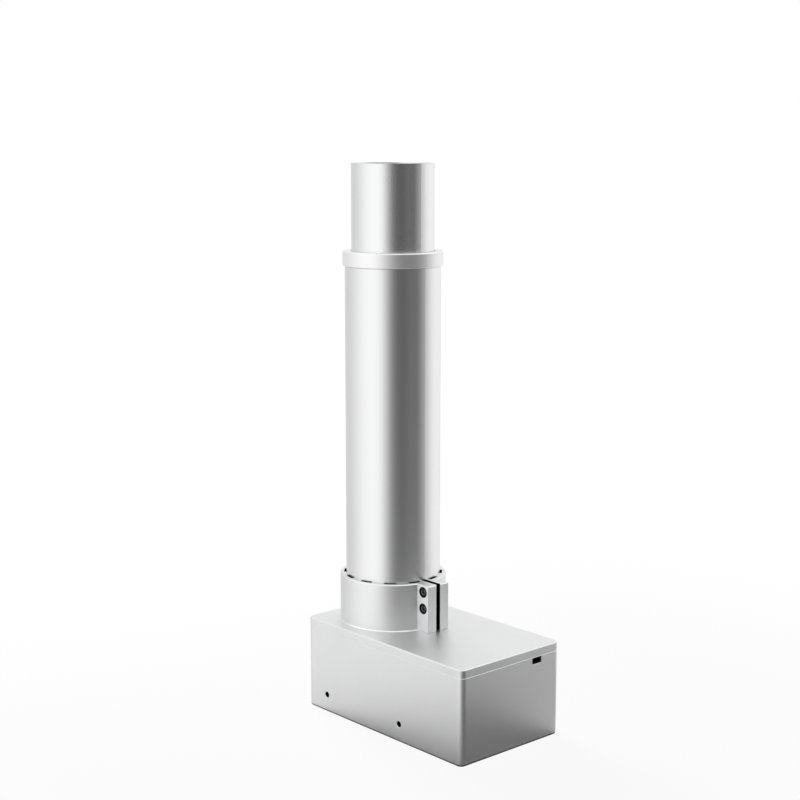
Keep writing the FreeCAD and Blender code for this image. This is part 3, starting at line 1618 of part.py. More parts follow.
def motor_leads():
    """Two leads that leave the rear cap and rise to the terminal block, with one bend each."""
    leads = []
    start = place_of("cap_end")
    rise = place_of("terminal_start") + place_of("terminal_length") / 2
    low = place_of("mesh_height") + place_of("lead_height")
    top = place_of("board_foot") - place_of("terminal_height")
    radius = place_of("lead_bend")
    for number, side in enumerate((-1, 1)):
        y = place_of("worm_y") + side * place_of("lead_spread")
        bend = FreeCAD.Vector(rise - radius, y, low + radius)
        middle = bend + FreeCAD.Vector(math.sin(math.pi / 4), 0, -math.cos(math.pi / 4)) * radius
        first = FreeCAD.Vector(start, y, low)
        corner_in = FreeCAD.Vector(rise - radius, y, low)
        corner_out = FreeCAD.Vector(rise, y, low + radius)
        path = Part.Wire([
            Part.LineSegment(first, corner_in).toShape(),
            Part.Arc(corner_in, middle, corner_out).toShape(),
            Part.LineSegment(corner_out, FreeCAD.Vector(rise, y, top)).toShape(),
        ])
        section = Part.Wire([Part.Circle(first, FreeCAD.Vector(1, 0, 0), place_of("lead_radius")).toShape()])
        lead = doc.addObject("Part::Feature", f"motor_lead_{number}")
        lead.Shape = path.makePipeShell([section], True, True)
        leads.append(lead)
    group("motor_leads", leads)


def connector():
    """Socket shell on the board, with its mouth in the box's short end, and its contact strips."""
    inner_face = "(box_front - box_wall - socket_inset)"
    back = f"({inner_face} - socket_length)"
    width = "(port_width / 2 - port_gap)"
    height = "(port_height / 2 - port_gap)"
    shell = fuse("socket_solid", [
        block("socket_body", (back, inner_face), ("port_y - socket_width / 2", "port_y + socket_width / 2"),
              ("board_top", "lid_foot - socket_head_gap")),
        block("socket_nose", (inner_face, "box_front - socket_inset"),
              (f"port_y - {width}", f"port_y + {width}"), (f"port_z - {height}", f"port_z + {height}")),
    ])
    floor = f"port_z - {height} + socket_wall"
    mouth = block("socket_mouth", (f"{back} + socket_back", "box_front"),
                  (f"port_y - {width} + socket_wall", f"port_y + {width} - socket_wall"),
                  (floor, f"port_z + {height} - socket_wall"))
    node("connector_socket", cut("connector_socket", shell, [mouth]))
    contacts = []
    for number in range(SIZES["contact_count"]):
        middle = f"port_y + ({number} - (contact_count - 1) / 2) * contact_pitch"
        contacts.append(block(
            f"contact_{number}",
            (f"{back} + socket_back", f"{inner_face} - contact_setback"),
            (f"{middle} - contact_width / 2", f"{middle} + contact_width / 2"),
            (floor, f"{floor} + contact_thickness"),
        ))
    group("connector_contacts", contacts)


def build():
    write_sizes()
    base_housing()
    top_cover()
    case_screws()
    clamp_collar()
    clamp_screws()
    collar_screws()
    outer_tube()
    cap_ring()
    wiper_seal()
    upper_guide_bush()
    inner_tube()
    top_end_plate()
    channel_screws("top_plate_screws", "plate_top - channel_head_seat", "-Z", "plate_screw_length")
    nut_carrier()
    channel_screws("foot_screws", "carrier_foot + channel_head_seat", "Z", "foot_screw_length")
    lift_nut()
    nut_screws()
    lower_guide_bush()
    lead_screw()
    worm_wheel()
    wheel_key()
    clip("wheel_clip", "wheel_seat_radius - wheel_clip_sink", "wheel_seat_radius + wheel_clip_rise",
         "hub_foot - wheel_clip_width", "wheel_clip_width")
    bearing("lower_bearing", "lower_journal_radius", "lower_bearing_radius", "lower_bearing_foot",
            "lower_bearing_height", "lower_bearing_middle")
    bearing("upper_bearing", "upper_journal_radius", "upper_bearing_radius", "upper_bearing_foot",
            "upper_bearing_height", "upper_bearing_middle")
    clip("bearing_clip", "upper_bearing_radius - bearing_clip_reach",
         "upper_bearing_radius + bearing_clip_sink", "clip_foot", "bearing_clip_width")
    screw_stop()
    worm()
    motor_shaft()
    worm_pin()
    shaft_bearings()
    armature()
    windings()
    motor_ring("commutator", "shaft_radius", "commutator_radius", "commutator_start", "commutator_end")
    motor_ring("motor_can", "motor_radius - can_wall", "motor_radius", "can_start", "cap_start")
    motor_magnets()
    motor_brushes()
    gearbox_case()
    bearing_carrier()
    screw_set("gearbox_screws", GEARBOX_SCREWS, "case_screw_radius", "gear_foot + foot_screw_grip",
              "box_floor + gear_foot", "-Z")
    screw_set("carrier_screws", CARRIER_SCREWS, "case_screw_radius", "carrier_flange + carrier_screw_grip",
              "carrier_seat", "Z")
    front_bell()
    rear_cap()
    bell_screws()
    motor_screws()
    encoder()
    control_board()
    board_parts()
    motor_leads()
    connector()
    doc.recompute()


def check():
    """Stops on any object that failed, and on any sub-part without a valid solid."""
    faults = []
    for thing in doc.Objects:
        if "Invalid" in thing.State or "Error" in thing.State:
            faults.append(f"{thing.Name}: {thing.State}")
    for name, thing in nodes.items():
        shape = thing.Shape
        if shape.isNull() or not shape.isValid() or not shape.Solids:
            faults.append(f"{name}: no valid solid")
    if faults:
        raise SystemExit("\n".join(faults))


def export():
    os.makedirs("parts", exist_ok=True)
    for name, thing in nodes.items():
        thing.Shape.exportStep(f"parts/{name}.step")
    print(f"{len(nodes)} sub-parts, {sum(len(thing.Shape.Solids) for thing in nodes.values())} solids")


build()
check()
export()
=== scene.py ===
# %% [markdown]
# # An electric lifting column, dressed in Blender
#
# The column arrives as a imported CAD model: every piece at its real size and place, on the body that
# carries it. This lesson leaves those pieces where they are and gives them their looks: the satin of
# bead-blasted and drawn aluminium, the cut threads and socket heads that CAD leaves plain, and the pale
# studio that shows long soft bands down the tubes.

# %% Load the frame
import json
import math

import bmesh
import bpy
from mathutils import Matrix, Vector


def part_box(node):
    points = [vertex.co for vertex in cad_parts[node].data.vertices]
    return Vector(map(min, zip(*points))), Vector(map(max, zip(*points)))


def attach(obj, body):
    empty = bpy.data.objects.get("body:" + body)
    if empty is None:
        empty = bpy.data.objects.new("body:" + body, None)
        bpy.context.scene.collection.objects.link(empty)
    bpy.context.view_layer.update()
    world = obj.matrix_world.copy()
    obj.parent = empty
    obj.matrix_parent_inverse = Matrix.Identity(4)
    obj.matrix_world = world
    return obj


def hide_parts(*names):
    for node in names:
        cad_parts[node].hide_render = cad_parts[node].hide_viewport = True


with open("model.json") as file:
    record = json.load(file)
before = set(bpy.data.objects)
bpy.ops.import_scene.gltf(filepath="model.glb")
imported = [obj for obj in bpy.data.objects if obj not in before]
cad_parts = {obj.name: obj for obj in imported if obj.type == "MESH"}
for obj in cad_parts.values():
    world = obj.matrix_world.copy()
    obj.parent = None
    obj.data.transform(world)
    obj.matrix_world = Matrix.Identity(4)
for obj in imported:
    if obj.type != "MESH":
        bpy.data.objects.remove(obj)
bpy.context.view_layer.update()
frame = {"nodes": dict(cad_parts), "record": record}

MM = 0.001

# %% [markdown]
# ## The camera
#
# Vertical edges stay nearly parallel in the photograph and the box's edges close in slowly, so it was
# taken with a long lens from about one and a half metres. The camera stands to the right of the long
# side, 576 mm above the floor, which is just above the column's top: the top rim is seen almost edge-on.
# A camera in Blender looks along its own -Z axis, so the aim is written as a direction and turned into a
# rotation.

# %% Camera
CAMERA_DISTANCE = 1545.4 * MM
CAMERA_AZIMUTH = math.radians(-41.45)
CAMERA_HEIGHT = 575.6 * MM
AIM_TURN = math.radians(-0.26)
AIM_DOWN = math.radians(9.47)
LENS = 70.46
SENSOR_WIDTH = 36
FAR_CLIP = 50


def aim_vector(azimuth, down):
    """The direction of a line of sight that points this far round and this far down."""
    level = math.cos(down)
    return Vector((level * math.cos(azimuth), level * math.sin(azimuth), -math.sin(down)))


camera_data = bpy.data.cameras.new("camera")
camera_data.lens = LENS
camera_data.sensor_width = SENSOR_WIDTH
camera_data.clip_end = FAR_CLIP
camera = bpy.data.objects.new("camera", camera_data)
bpy.context.scene.collection.objects.link(camera)
camera.location = (
    CAMERA_DISTANCE * math.cos(CAMERA_AZIMUTH),
    CAMERA_DISTANCE * math.sin(CAMERA_AZIMUTH),
    CAMERA_HEIGHT,
)
aim = aim_vector(CAMERA_AZIMUTH + math.pi + AIM_TURN, AIM_DOWN)
camera.rotation_euler = aim.to_track_quat("-Z", "Y").to_euler()
bpy.context.scene.camera = camera
print("camera at", [round(value, 4) for value in camera.location])

# %% [markdown]
# ## Writing shaders as sums
#
# A node tree is easier to read as a formula. `Signal` wraps an output socket, and each operator adds the
# Math node that it stands for, so `0.34 + 0.06 * grain` makes two nodes. The reflected forms let a number
# stand first.


# %% Signal
class Signal:
    def __init__(self, finish, socket):
        self.finish = finish
        self.socket = socket

    def combine(self, operation, first, second):
        made = self.finish.node("ShaderNodeMath", {"operation": operation}, {0: first, 1: second})
        return Signal(self.finish, made.outputs[0])

    def __add__(self, other):
        return self.combine("ADD", self, other)

    def __radd__(self, other):
        return self.combine("ADD", other, self)

    def __sub__(self, other):
        return self.combine("SUBTRACT", self, other)

    def __rsub__(self, other):
        return self.combine("SUBTRACT", other, self)

    def __mul__(self, other):
        return self.combine("MULTIPLY", self, other)

    def __rmul__(self, other):
        return self.combine("MULTIPLY", other, self)


print("operators ready")

# %% [markdown]
# `Nodes` holds one node tree, of a material or of the world. Its `node` method makes every other kind of
# node: the settings come first, because a data type or a ramp's stops decide what the sockets are, and
# then the values or links of its sockets.


# %% Node trees
class Nodes:
    """A node tree, with one method that makes every kind of node."""

    def __init__(self, holder):
        holder.use_nodes = True
        self.tree = holder.node_tree

    def node(self, kind, settings, values):
        made = self.tree.nodes.new(kind)
        for name, value in settings.items():
            if name == "stops":
                self.fill_ramp(made.color_ramp, value)
            else:
                setattr(made, name, value)
        for name, value in values.items():
            self.feed(made.inputs[name], value)
        return made

    @staticmethod
    def fill_ramp(ramp, stops):
        while len(ramp.elements) < len(stops):
            ramp.elements.new(1.0)
        for element, (position, level) in zip(ramp.elements, stops):
            element.position = position
            element.color = (level, level, level, 1)

    def feed(self, socket, value):
        if isinstance(value, Signal):
            self.tree.links.new(value.socket, socket)
        elif isinstance(value, bpy.types.NodeSocket):
            self.tree.links.new(value, socket)
        else:
            socket.default_value = value

    def rise(self, signal, low, high):
        """A smooth step from 0 to 1 while a signal goes from low to high."""
        made = self.node(
            "ShaderNodeMapRange",
            {"interpolation_type": "SMOOTHSTEP"},
            {"Value": signal, "From Min": low, "From Max": high},
        )
        return Signal(self, made.outputs[0])

    def mix(self, factor, low, high):
        """A colour between two, each a link or four numbers."""
        made = self.node("ShaderNodeMix", {"data_type": "RGBA"}, {"Factor": factor, 6: low, 7: high})
        return made.outputs[2]

    def send(self, node, target):
        """Ends the tree: a node's first output goes to the output node."""
        self.tree.links.new(node.outputs[0], self.tree.nodes[target].inputs["Surface"])


print("node trees ready")

# %% [markdown]
# `Finish` is the tree of one material. A finish is painted by position, and a piece's own coordinates are
# the column's, in metres. So its methods measure: how far a point is from the column's axis or from a
# hole's, how high it lies, and what noise of a given fineness says there.

# %% Finishes
LINE_EDGE = 1.03


class Finish(Nodes):
    """One material."""

    def __init__(self, name, colour, roughness, metallic=0.0):
        self.material = bpy.data.materials.new(name)
        super().__init__(self.material)
        self.shader = self.tree.nodes["Principled BSDF"]
        self.material.diffuse_color = (*colour, 1)
        self.shader.inputs["Base Color"].default_value = (*colour, 1)
        self.shader.inputs["Roughness"].default_value = roughness
        self.shader.inputs["Metallic"].default_value = metallic
        self.place = None

    def drive(self, name, value):
        self.feed(self.shader.inputs[name], value)

    def position(self):
        """Where a point of the piece is, in metres from the piece's own origin."""
        if self.place is None:
            self.place = self.node("ShaderNodeTexCoord", {}, {}).outputs["Object"]
        return self.place

    def stretched(self, scale):
        made = self.node("ShaderNodeVectorMath", {"operation": "MULTIPLY"}, {0: self.position(), 1: scale})
        return made.outputs[0]

    def noise(self, scale, detail=2.0, roughness=0.5):
        """Noise from 0 to 1, whose scale is in features per metre along each axis."""
        made = self.node(
            "ShaderNodeTexNoise", {}, {"Vector": self.stretched(scale), "Scale": 1.0, "Detail": detail,
                                       "Roughness": roughness}
        )
        return Signal(self, made.outputs[0])

    def radius(self):
        """Distance from the column's axis, in metres."""
        made = self.node("ShaderNodeVectorMath", {"operation": "LENGTH"}, {0: self.stretched((1, 1, 0))})
        return Signal(self, made.outputs["Value"])

    def distance(self, point):
        made = self.node("ShaderNodeVectorMath", {"operation": "DISTANCE"}, {0: self.position(), 1: point})
        return Signal(self, made.outputs["Value"])

    def near_line(self, point, reach):
        """1 within a distance of the line through a point along Y."""
        level = (point[0], 0, point[2])
        made = self.node("ShaderNodeVectorMath", {"operation": "DISTANCE"},
                         {0: self.stretched((1, 0, 1)), 1: level})
        return 1 - self.rise(Signal(self, made.outputs["Value"]), reach, LINE_EDGE * reach)

    def coordinate(self, index):
        made = self.node("ShaderNodeSeparateXYZ", {}, {0: self.position()})
        return Signal(self, made.outputs[index])

    def absolute(self, signal):
        made = self.node("ShaderNodeMath", {"operation": "ABSOLUTE"}, {0: signal})
        return Signal(self, made.outputs[0])

    def blend(self, factor, low, high):
        return self.mix(factor, (*low, 1), (*high, 1))

    def bump(self, height, depth, strength=1.0):
        made = self.node("ShaderNodeBump", {}, {"Height": height, "Distance": depth, "Strength": strength})
        self.drive("Normal", made.outputs[0])


print("finishes ready")

# %% [markdown]
# ## Bead-blasted and drawn aluminium
#
# The box, lid and collar are bead-blasted before they are anodised: a fine even grain, which scatters
# what it mirrors. The tubes are drawn, so their grain is pulled into faint streaks along the column.
# Both are bare metal under a clear film, so they are fully metallic with a pale grey colour, and the
# picture comes from what they reflect. Only the grain's scale and direction differ.

# %% Aluminium finishes
GRAIN_PER_METRE = 2600
CLOUD_PER_METRE = 30
STREAKS = (900, 900, 6)
ROUGH_SPREAD = 0.10
DARKER, LIGHTER = 0.94, 1.04
# CUT_SHADE is the painted shade, nearly black, put into deep cuts.
CUT_SHADE = (0.012, 0.012, 0.013)


def aluminium(name, colour, roughness, pattern, depth, shade=None):
    """Bare metal whose pattern shades its colour and roughness; shade masks painted shade into the deep
    cuts.
    """
    finish = Finish(name, colour, roughness, metallic=1.0)
    mottle = pattern(finish)
    finish.drive("Roughness", roughness - ROUGH_SPREAD / 2 + ROUGH_SPREAD * mottle)
    darker = tuple(DARKER * value for value in colour)
    lighter = tuple(min(1.0, LIGHTER * value) for value in colour)
    surface = finish.blend(mottle, darker, lighter)
    if shade is not None:
        # Painted shade: where the mask is 1 the colour turns nearly black.
        surface = finish.mix(shade(finish), surface, (*CUT_SHADE, 1))
    finish.drive("Base Color", surface)
    finish.bump(mottle, depth, 0.3)
    return finish.material


def blasted(finish):
    """Fine even grain with a faint cloud in it."""
    grain = finish.noise((GRAIN_PER_METRE,) * 3, detail=3)
    return 0.65 * grain + 0.35 * finish.noise((CLOUD_PER_METRE,) * 3)


def drawn(finish):
    """Streaks along the column over the same fine grain."""
    return 0.4 * finish.noise(STREAKS, detail=3) + 0.6 * finish.noise((GRAIN_PER_METRE,) * 3)


print("grain of", round(1 / (GRAIN_PER_METRE * MM), 2), "mm")

# %% [markdown]
# The collar's twelve relief slots and its slit are saw and broach cuts, left raw. They are narrow and
# deep, so they read as black, and their walls get painted shade, nearly black. So do the walls of the
# two holes in the box's side and of the screw seats. Position tells where a wall is: inside the slots'
# radius and below the collar's top, between the lugs, or within a hole's radius of its axis.

# %% Places of the cuts
HAIR = 0.05 * MM
SLOT_DEPTH = 2.45 * MM
SLIT_HALF = 2.5 * MM
SLIT_MOUTH = 0.55 * MM
SEAT_RADIUS = 5.5 * MM
SEAT_EDGE = -13.5 * MM
JOINT = 0.8 * MM
JOINT_SHADE = 0.4
collar_low, collar_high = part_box("clamp_collar")
tube_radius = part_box("outer_tube")[1].x
ring_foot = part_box("cap_ring")[0].z
screw_low, screw_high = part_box("clamp_screws")
head_radius = (screw_high.x - screw_low.x) / 2
clamp_low = screw_low + Vector((head_radius, 0, head_radius))
clamp_high = screw_high - Vector((head_radius, 0, head_radius))
print("collar top", round(collar_high.z, 4), "tube radius", round(tube_radius, 4))

# %% [markdown]
# Each mask of painted shade is a product of smooth steps, which is 1 in a cut and 0 outside it, and
# overlapping masks are joined without adding up to more than 1. The outer tube gets two: painted shade on
# its wall inside the collar, and a soft line of painted shade in the joint under the cap ring.


# %% Painted shade in the cuts
def below_collar_top(finish):
    return 1 - finish.rise(finish.coordinate(2), collar_high.z - 3 * HAIR, collar_high.z - HAIR)


def tube_painted_shade(finish):
    """Painted shade: 1 inside the collar, and a soft dark line of painted shade in the joint under the cap
    ring.
    """
    joint = finish.rise(finish.coordinate(2), ring_foot - JOINT - HAIR, ring_foot - JOINT)
    # Painted shade inside the collar and in the joint under the cap ring.
    return below_collar_top(finish) + JOINT_SHADE * joint


def collar_painted_shade(finish):
    """1 on the walls of the slots, of the slit and of the screw seats, which get painted shade."""
    slot_wall = tube_radius + SLOT_DEPTH
    inside = 1 - finish.rise(finish.radius(), slot_wall, slot_wall + HAIR / 2)
    aside = finish.absolute(finish.coordinate(1))
    between = 1 - finish.rise(aside, SLIT_HALF + HAIR / 2, SLIT_HALF + HAIR)
    mouth = collar_high.x - SLIT_MOUTH
    behind = 1 - finish.rise(finish.coordinate(0), mouth - HAIR, mouth)
    slit = between * behind * finish.rise(finish.coordinate(0), 0, SLIT_MOUTH)
    # Painted shade on the walls of the slots, the slit and the screw seats.
    slots = inside * below_collar_top(finish)
    seats = finish.near_line(clamp_low, SEAT_RADIUS) + finish.near_line(clamp_high, SEAT_RADIUS)
    sunk = seats * finish.rise(finish.coordinate(1), SEAT_EDGE, SEAT_EDGE + HAIR)
    cuts = slots + slit - slots * slit
    return cuts + sunk - cuts * sunk


print("slot walls out to", round((tube_radius + SLOT_DEPTH) / MM, 2), "mm")

# %% [markdown]
# The box's side holes are bolt holes, so their places and radius are in the record's mounts. Their walls
# get painted shade, and so do the last three millimetres of its sides, darker towards the floor.

# %% Painted shade on the box
HOLE_RIM = 0.5 * MM
FOOT_SHADE = 0.75
FOOT_DARK = 1.0 * MM
FOOT_CLEAR = 3.0 * MM
mounts = {mount["name"]: mount for mount in frame["record"]["mounts"]}
side_holes = mounts["side_holes_front"]
hole_middle = Vector(side_holes["pos_m"])
hole_radius = side_holes["dims"]["hole_r_mm"] * MM
hole_reach = Vector((side_holes["dims"]["spacing_x_mm"] / 2 * MM, 0, 0))


def box_painted_shade(finish):
    """1 on the walls of the side holes, and part of it near the floor: a mask of painted shade."""
    # Painted shade near the floor, darker towards the bottom, and in the side holes.
    foot = FOOT_SHADE * (1 - finish.rise(finish.coordinate(2), FOOT_DARK, FOOT_CLEAR))
    back = finish.near_line(hole_middle - hole_reach, hole_radius)
    front = finish.near_line(hole_middle + hole_reach, hole_radius)
    edge = abs(hole_middle.y) - HOLE_RIM
    inside = 1 - finish.rise(finish.absolute(finish.coordinate(1)), edge, edge + HAIR)
    return foot + (back + front) * inside


print("side holes of radius", hole_radius, "at height", hole_middle.z)

# %% [markdown]
# Five aluminium finishes differ in roughness: the tubes mirror the room most clearly and the box the
# least. The cap ring is the palest piece in the photograph, so its colour is white.

# %% Outer metals
SILVER = (0.88, 0.883, 0.886)
WHITE = (1.0, 1.0, 1.0)
BLASTED_DEPTH = 0.00006
DRAWN_DEPTH = 0.000008
# The box's colour carries painted shade in its side holes and along its foot.
box_metal = aluminium("blasted_aluminium_box", SILVER, 0.44, blasted, BLASTED_DEPTH, box_painted_shade)
# The collar's colour carries painted shade in its slots, slit and screw seats.
collar_metal = aluminium("blasted_aluminium_collar", SILVER, 0.42, blasted, BLASTED_DEPTH, collar_painted_shade)
# The outer tube's colour carries painted shade inside the collar and under the cap ring.
tube_metal = aluminium("drawn_aluminium_outer", SILVER, 0.30, drawn, DRAWN_DEPTH, tube_painted_shade)
lift_metal = aluminium("drawn_aluminium_inner", SILVER, 0.28, drawn, DRAWN_DEPTH)
ring_metal = aluminium("blasted_aluminium_ring", WHITE, 0.47, blasted, BLASTED_DEPTH)
print("aluminium:", box_metal.name, tube_metal.name, ring_metal.name)

# %% [markdown]
# ## The quieter materials inside
#
# Castings, ground steel, bronze, moulded acetal, rubber, enamelled wire and board laminate are hidden at
# rest, but they show when the column is taken apart or drawn in section. Each is one short recipe with
# its own grain, made by the same function.


# %% Inner finishes
def plain_finish(name, colour, roughness, metallic, grain_scale, spread=0.12, depth=0.00003):
    """A finish with one grain that shades its colour, roughness and relief."""
    finish = Finish(name, colour, roughness, metallic)
    grain = finish.noise(grain_scale, detail=3)
    darker = tuple((1 - spread) * value for value in colour)
    lighter = tuple(min(1.0, (1 + spread) * value) for value in colour)
    finish.drive("Base Color", finish.blend(grain, darker, lighter))
    finish.drive("Roughness", roughness - 0.06 + 0.12 * grain)
    finish.bump(grain, depth, 0.4)
    return finish.material


print("recipe ready")

# %% [markdown]
# The record names twelve material slots, and each gets its recipe. The grain's scale is in features per
# metre: fine for plated, moulded and painted pieces, coarse for castings, and drawn out round the axis
# for turned ones. The collar, the two tubes and the cap ring share the box's slot, but each has a finish
# of its own, made above.

# %% Dress the CAD pieces
FINE = (1800, 1800, 1800)
CAST = (420, 420, 420)
TURNED = (40, 40, 3200)
finishes = {
    "satin_aluminium": box_metal,
    "cast_aluminium": plain_finish("cast_aluminium", (0.60, 0.61, 0.62), 0.48, 1.0, CAST, 0.14, 0.0001),
    "dark_screw_steel": plain_finish("black_oxide_steel", (0.045, 0.045, 0.048), 0.32, 1.0, FINE),
    "zinc_steel": plain_finish("zinc_plated_steel", (0.62, 0.63, 0.65), 0.30, 1.0, FINE),
    "bearing_steel": plain_finish("ground_steel", (0.66, 0.66, 0.68), 0.22, 1.0, TURNED),
    "bronze": plain_finish("bronze", (0.62, 0.42, 0.20), 0.32, 1.0, TURNED),
    "copper": plain_finish("enamelled_copper", (0.70, 0.33, 0.18), 0.34, 1.0, FINE),
    "guide_plastic": plain_finish("white_acetal", (0.82, 0.82, 0.79), 0.42, 0.0, FINE, 0.04),
    "seal_rubber": plain_finish("seal_rubber", (0.03, 0.03, 0.032), 0.62, 0.0, FINE, 0.2),
    "black_plastic": plain_finish("black_plastic", (0.015, 0.015, 0.017), 0.45, 0.0, FINE, 0.2),
    "board_laminate": plain_finish("board_laminate", (0.03, 0.16, 0.08), 0.35, 0.0, FINE, 0.15),
    "magnet_ferrite": plain_finish("magnet_ferrite", (0.09, 0.09, 0.095), 0.55, 0.0, CAST, 0.2),
}
slots = {row["node"]: row["material_slot"] for row in frame["record"]["subparts"]}
own_finish = {
    "clamp_collar": collar_metal,
    "outer_tube": tube_metal,
    "inner_tube": lift_metal,
    "cap_ring": ring_metal,
}


def dress(thing, material):
    thing.data.materials.clear()
    thing.data.materials.append(material)


for node, thing in frame["nodes"].items():
    dress(thing, own_finish.get(node, finishes[slots[node]]))
print(len(frame["nodes"]), "CAD pieces dressed")

# %% [markdown]
# ## Measuring the screws
#
# In the CAD model a screw is a plain cylinder with a head and a hexagonal hole. Each is measured where it
# lies and built again in the same space, so it needs no list of places. A node holds several screws:
# welding its mesh and walking along its edges gives them one by one.

# %% Take a node apart
SCREW_NODES = [
    "case_screws", "collar_screws", "clamp_screws", "gearbox_screws", "carrier_screws", "bell_screws",
    "motor_screws", "board_screws", "top_plate_screws", "foot_screws", "nut_screws", "stop_bolt",
]
WELD = 0.001 * MM


def loose_parts(thing):
    """The separate solids of a CAD piece, each as a list of points."""
    mesh = bmesh.new()
    mesh.from_mesh(thing.data)
    bmesh.ops.remove_doubles(mesh, verts=mesh.verts, dist=WELD)
    left = set(mesh.verts)
    parts = []
    while left:
        waiting = [left.pop()]
        part = []
        while waiting:
            vertex = waiting.pop()
            part.append(vertex.co.copy())
            reached = {link.other_vert(vertex) for link in vertex.link_edges} & left
            left -= reached
            waiting.extend(reached)
        parts.append(part)
    mesh.free()
    return parts


loose_screws = {node: loose_parts(frame["nodes"][node]) for node in SCREW_NODES}
print("loose screws:", sum(len(parts) for parts in loose_screws.values()))

# %% [markdown]
# A screw's axis is the one round which all its points fit a circle no wider than its box. Round either
# of the other two, the corners of its side view stick out of that circle.


# %% Find a screw's axis
def middle_of(part):
    return Vector([(min(p[i] for p in part) + max(p[i] for p in part)) / 2 for i in range(3)])


def off_axis(point, middle, axis):
    """Distance of a point from the line through the middle along axis 0, 1 or 2."""
    away = point - middle
    away[axis] = 0
    return away.length


def spare_reach(part, middle, axis):
    sides = [i for i in range(3) if i != axis]
    half = max(max(p[i] for p in part) - middle[i] for i in sides)
    return max(off_axis(p, middle, axis) for p in part) - half


def axis_of(part):
    middle = middle_of(part)
    return min(range(3), key=lambda i: spare_reach(part, middle, i))


print("axes of the clamp screws:", [axis_of(part) for part in loose_screws["clamp_screws"]])

# %% [markdown]
# The head is at the wider end. Where the radius changes gives the head's height and the shank, and points
# of the head inside the shank's radius belong to the socket.


# %% Measure the screws
def measure(part):
    """Where a screw lies and how big it is; depth is counted from the top of its head."""
    middle = middle_of(part)
    axis = axis_of(part)
    low = min(p[axis] for p in part)
    high = max(p[axis] for p in part)
    radii = [(p[axis], off_axis(p, middle, axis)) for p in part]
    low_end = max(r for t, r in radii if t < low + HAIR)
    high_end = max(r for t, r in radii if t > high - HAIR)
    top, way = (low, 1) if low_end > high_end else (high, -1)
    shank = min(low_end, high_end)
    depths = [((t - top) * way, r) for t, r in radii]
    head = max(r for _, r in depths)
    rise = max(d for d, r in depths if r > shank + HAIR)
    inner = [(d, r) for d, r in depths if d < rise + HAIR and r < shank - HAIR / 2]
    start = middle.copy()
    start[axis] = top
    inward = Vector((0, 0, 0))
    inward[axis] = way
    return {
        "start": start, "inward": inward, "length": high - low, "shank": shank, "head": head, "rise": rise,
        "socket": max((r for _, r in inner), default=0), "depth": max((d for d, _ in inner), default=0),
    }


screws = {node: [measure(part) for part in parts] for node, parts in loose_screws.items()}
for node, sizes in screws.items():
    one = sizes[0]
    print(node, len(sizes), {key: round(one[key] / MM, 2) for key in ("length", "shank", "head", "rise")})

# %% [markdown]
# ## Building a screw
#
# A head is a stack of rings. Each ring is a function of the angle, so a circle, a hexagon and a knurl
# can follow one another.


# %% Rings
def hexagon(corner, turn):
    """Radius of a hexagon at an angle."""
    within = (turn % (math.pi / 3)) - math.pi / 6
    return corner * math.cos(math.pi / 6) / math.cos(within)


def ring_stack(mesh, rows, steps):
    """Quads between rows of points; each row is a function of the angle that gives radius and depth."""
    turns = [2 * math.pi * i / steps for i in range(steps)]
    rings = []
    for row in rows:
        points = [(*row(turn), turn) for turn in turns]
        rings.append([mesh.verts.new((r * math.cos(a), r * math.sin(a), d)) for r, d, a in points])
    for upper, lower in zip(rings, rings[1:]):
        for i in range(steps):
            j = (i + 1) % steps
            mesh.faces.new((upper[i], upper[j], lower[j], lower[i]))
    mesh.faces.new(rings[-1])
    mesh.faces.new(rings[0][::-1])


print("a hexagon's flats lie at", round(hexagon(1, math.pi / 6), 3), "of its corners' radius")

# %% [markdown]
# The rings of a head are the knurled side, a rounded edge, a flat, the socket's chamfer, then the hexagon
# and the drill's cone at its floor. A bolt without a socket has a hexagon for its side. Sizes are shares
# of the shank's or the socket's radius.

# %% Screw heads
HEAD_STEPS = 48
ROUND_OFF = 0.12
EDGE_SHARE = 0.3
KNURL = 0.025
SOCKET_MOUTH = 1.1
DRILL_CONE = 0.25
DRILL_TIP = 0.1


def head_rows(size, hexagonal):
    head, rise, shank = size["head"], size["rise"], size["shank"]
    round_off = ROUND_OFF * shank
    ridge = KNURL * shank
    socket = size["socket"]

    def side(depth, inset=0.0):
        def row(turn):
            if hexagonal:
                return hexagon(head, turn) - inset, depth
            knurl = ridge * (round(turn * HEAD_STEPS / (2 * math.pi)) % 2)
            return head - inset - knurl, depth
        return row

    def plain(radius, depth):
        return lambda turn: (radius, depth)

    def six(corner, depth):
        return lambda turn: (hexagon(corner, turn), depth)

    rows = [plain(shank, rise), side(rise, ridge), side(rise - ridge), side(round_off)]
    rows.append(side(EDGE_SHARE * round_off, EDGE_SHARE * round_off))
    rows.append(plain(head - round_off - ridge, 0))
    if socket > 0:
        rows += [plain(SOCKET_MOUTH * socket, 0), six(socket, round_off), six(socket, size["depth"])]
        rows.append(plain(DRILL_TIP * socket, size["depth"] + DRILL_CONE * socket))
    return rows


print("heads of", HEAD_STEPS, "steps round")

# %% [markdown]
# The thread is a profile carried along a helix. Each row of points climbs one pitch per turn, so a row's
# end meets the row one turn further on, and no seam is left. Points that would pass either end are held
# there at the root's radius, and the far end gets a chamfer.

# %% Threads
THREAD_STEPS = 20
THREAD_PROFILE = ((0.0, 1), (0.125, 1), (0.4375, 0), (0.6875, 0))
THREAD_DEEP = 0.613


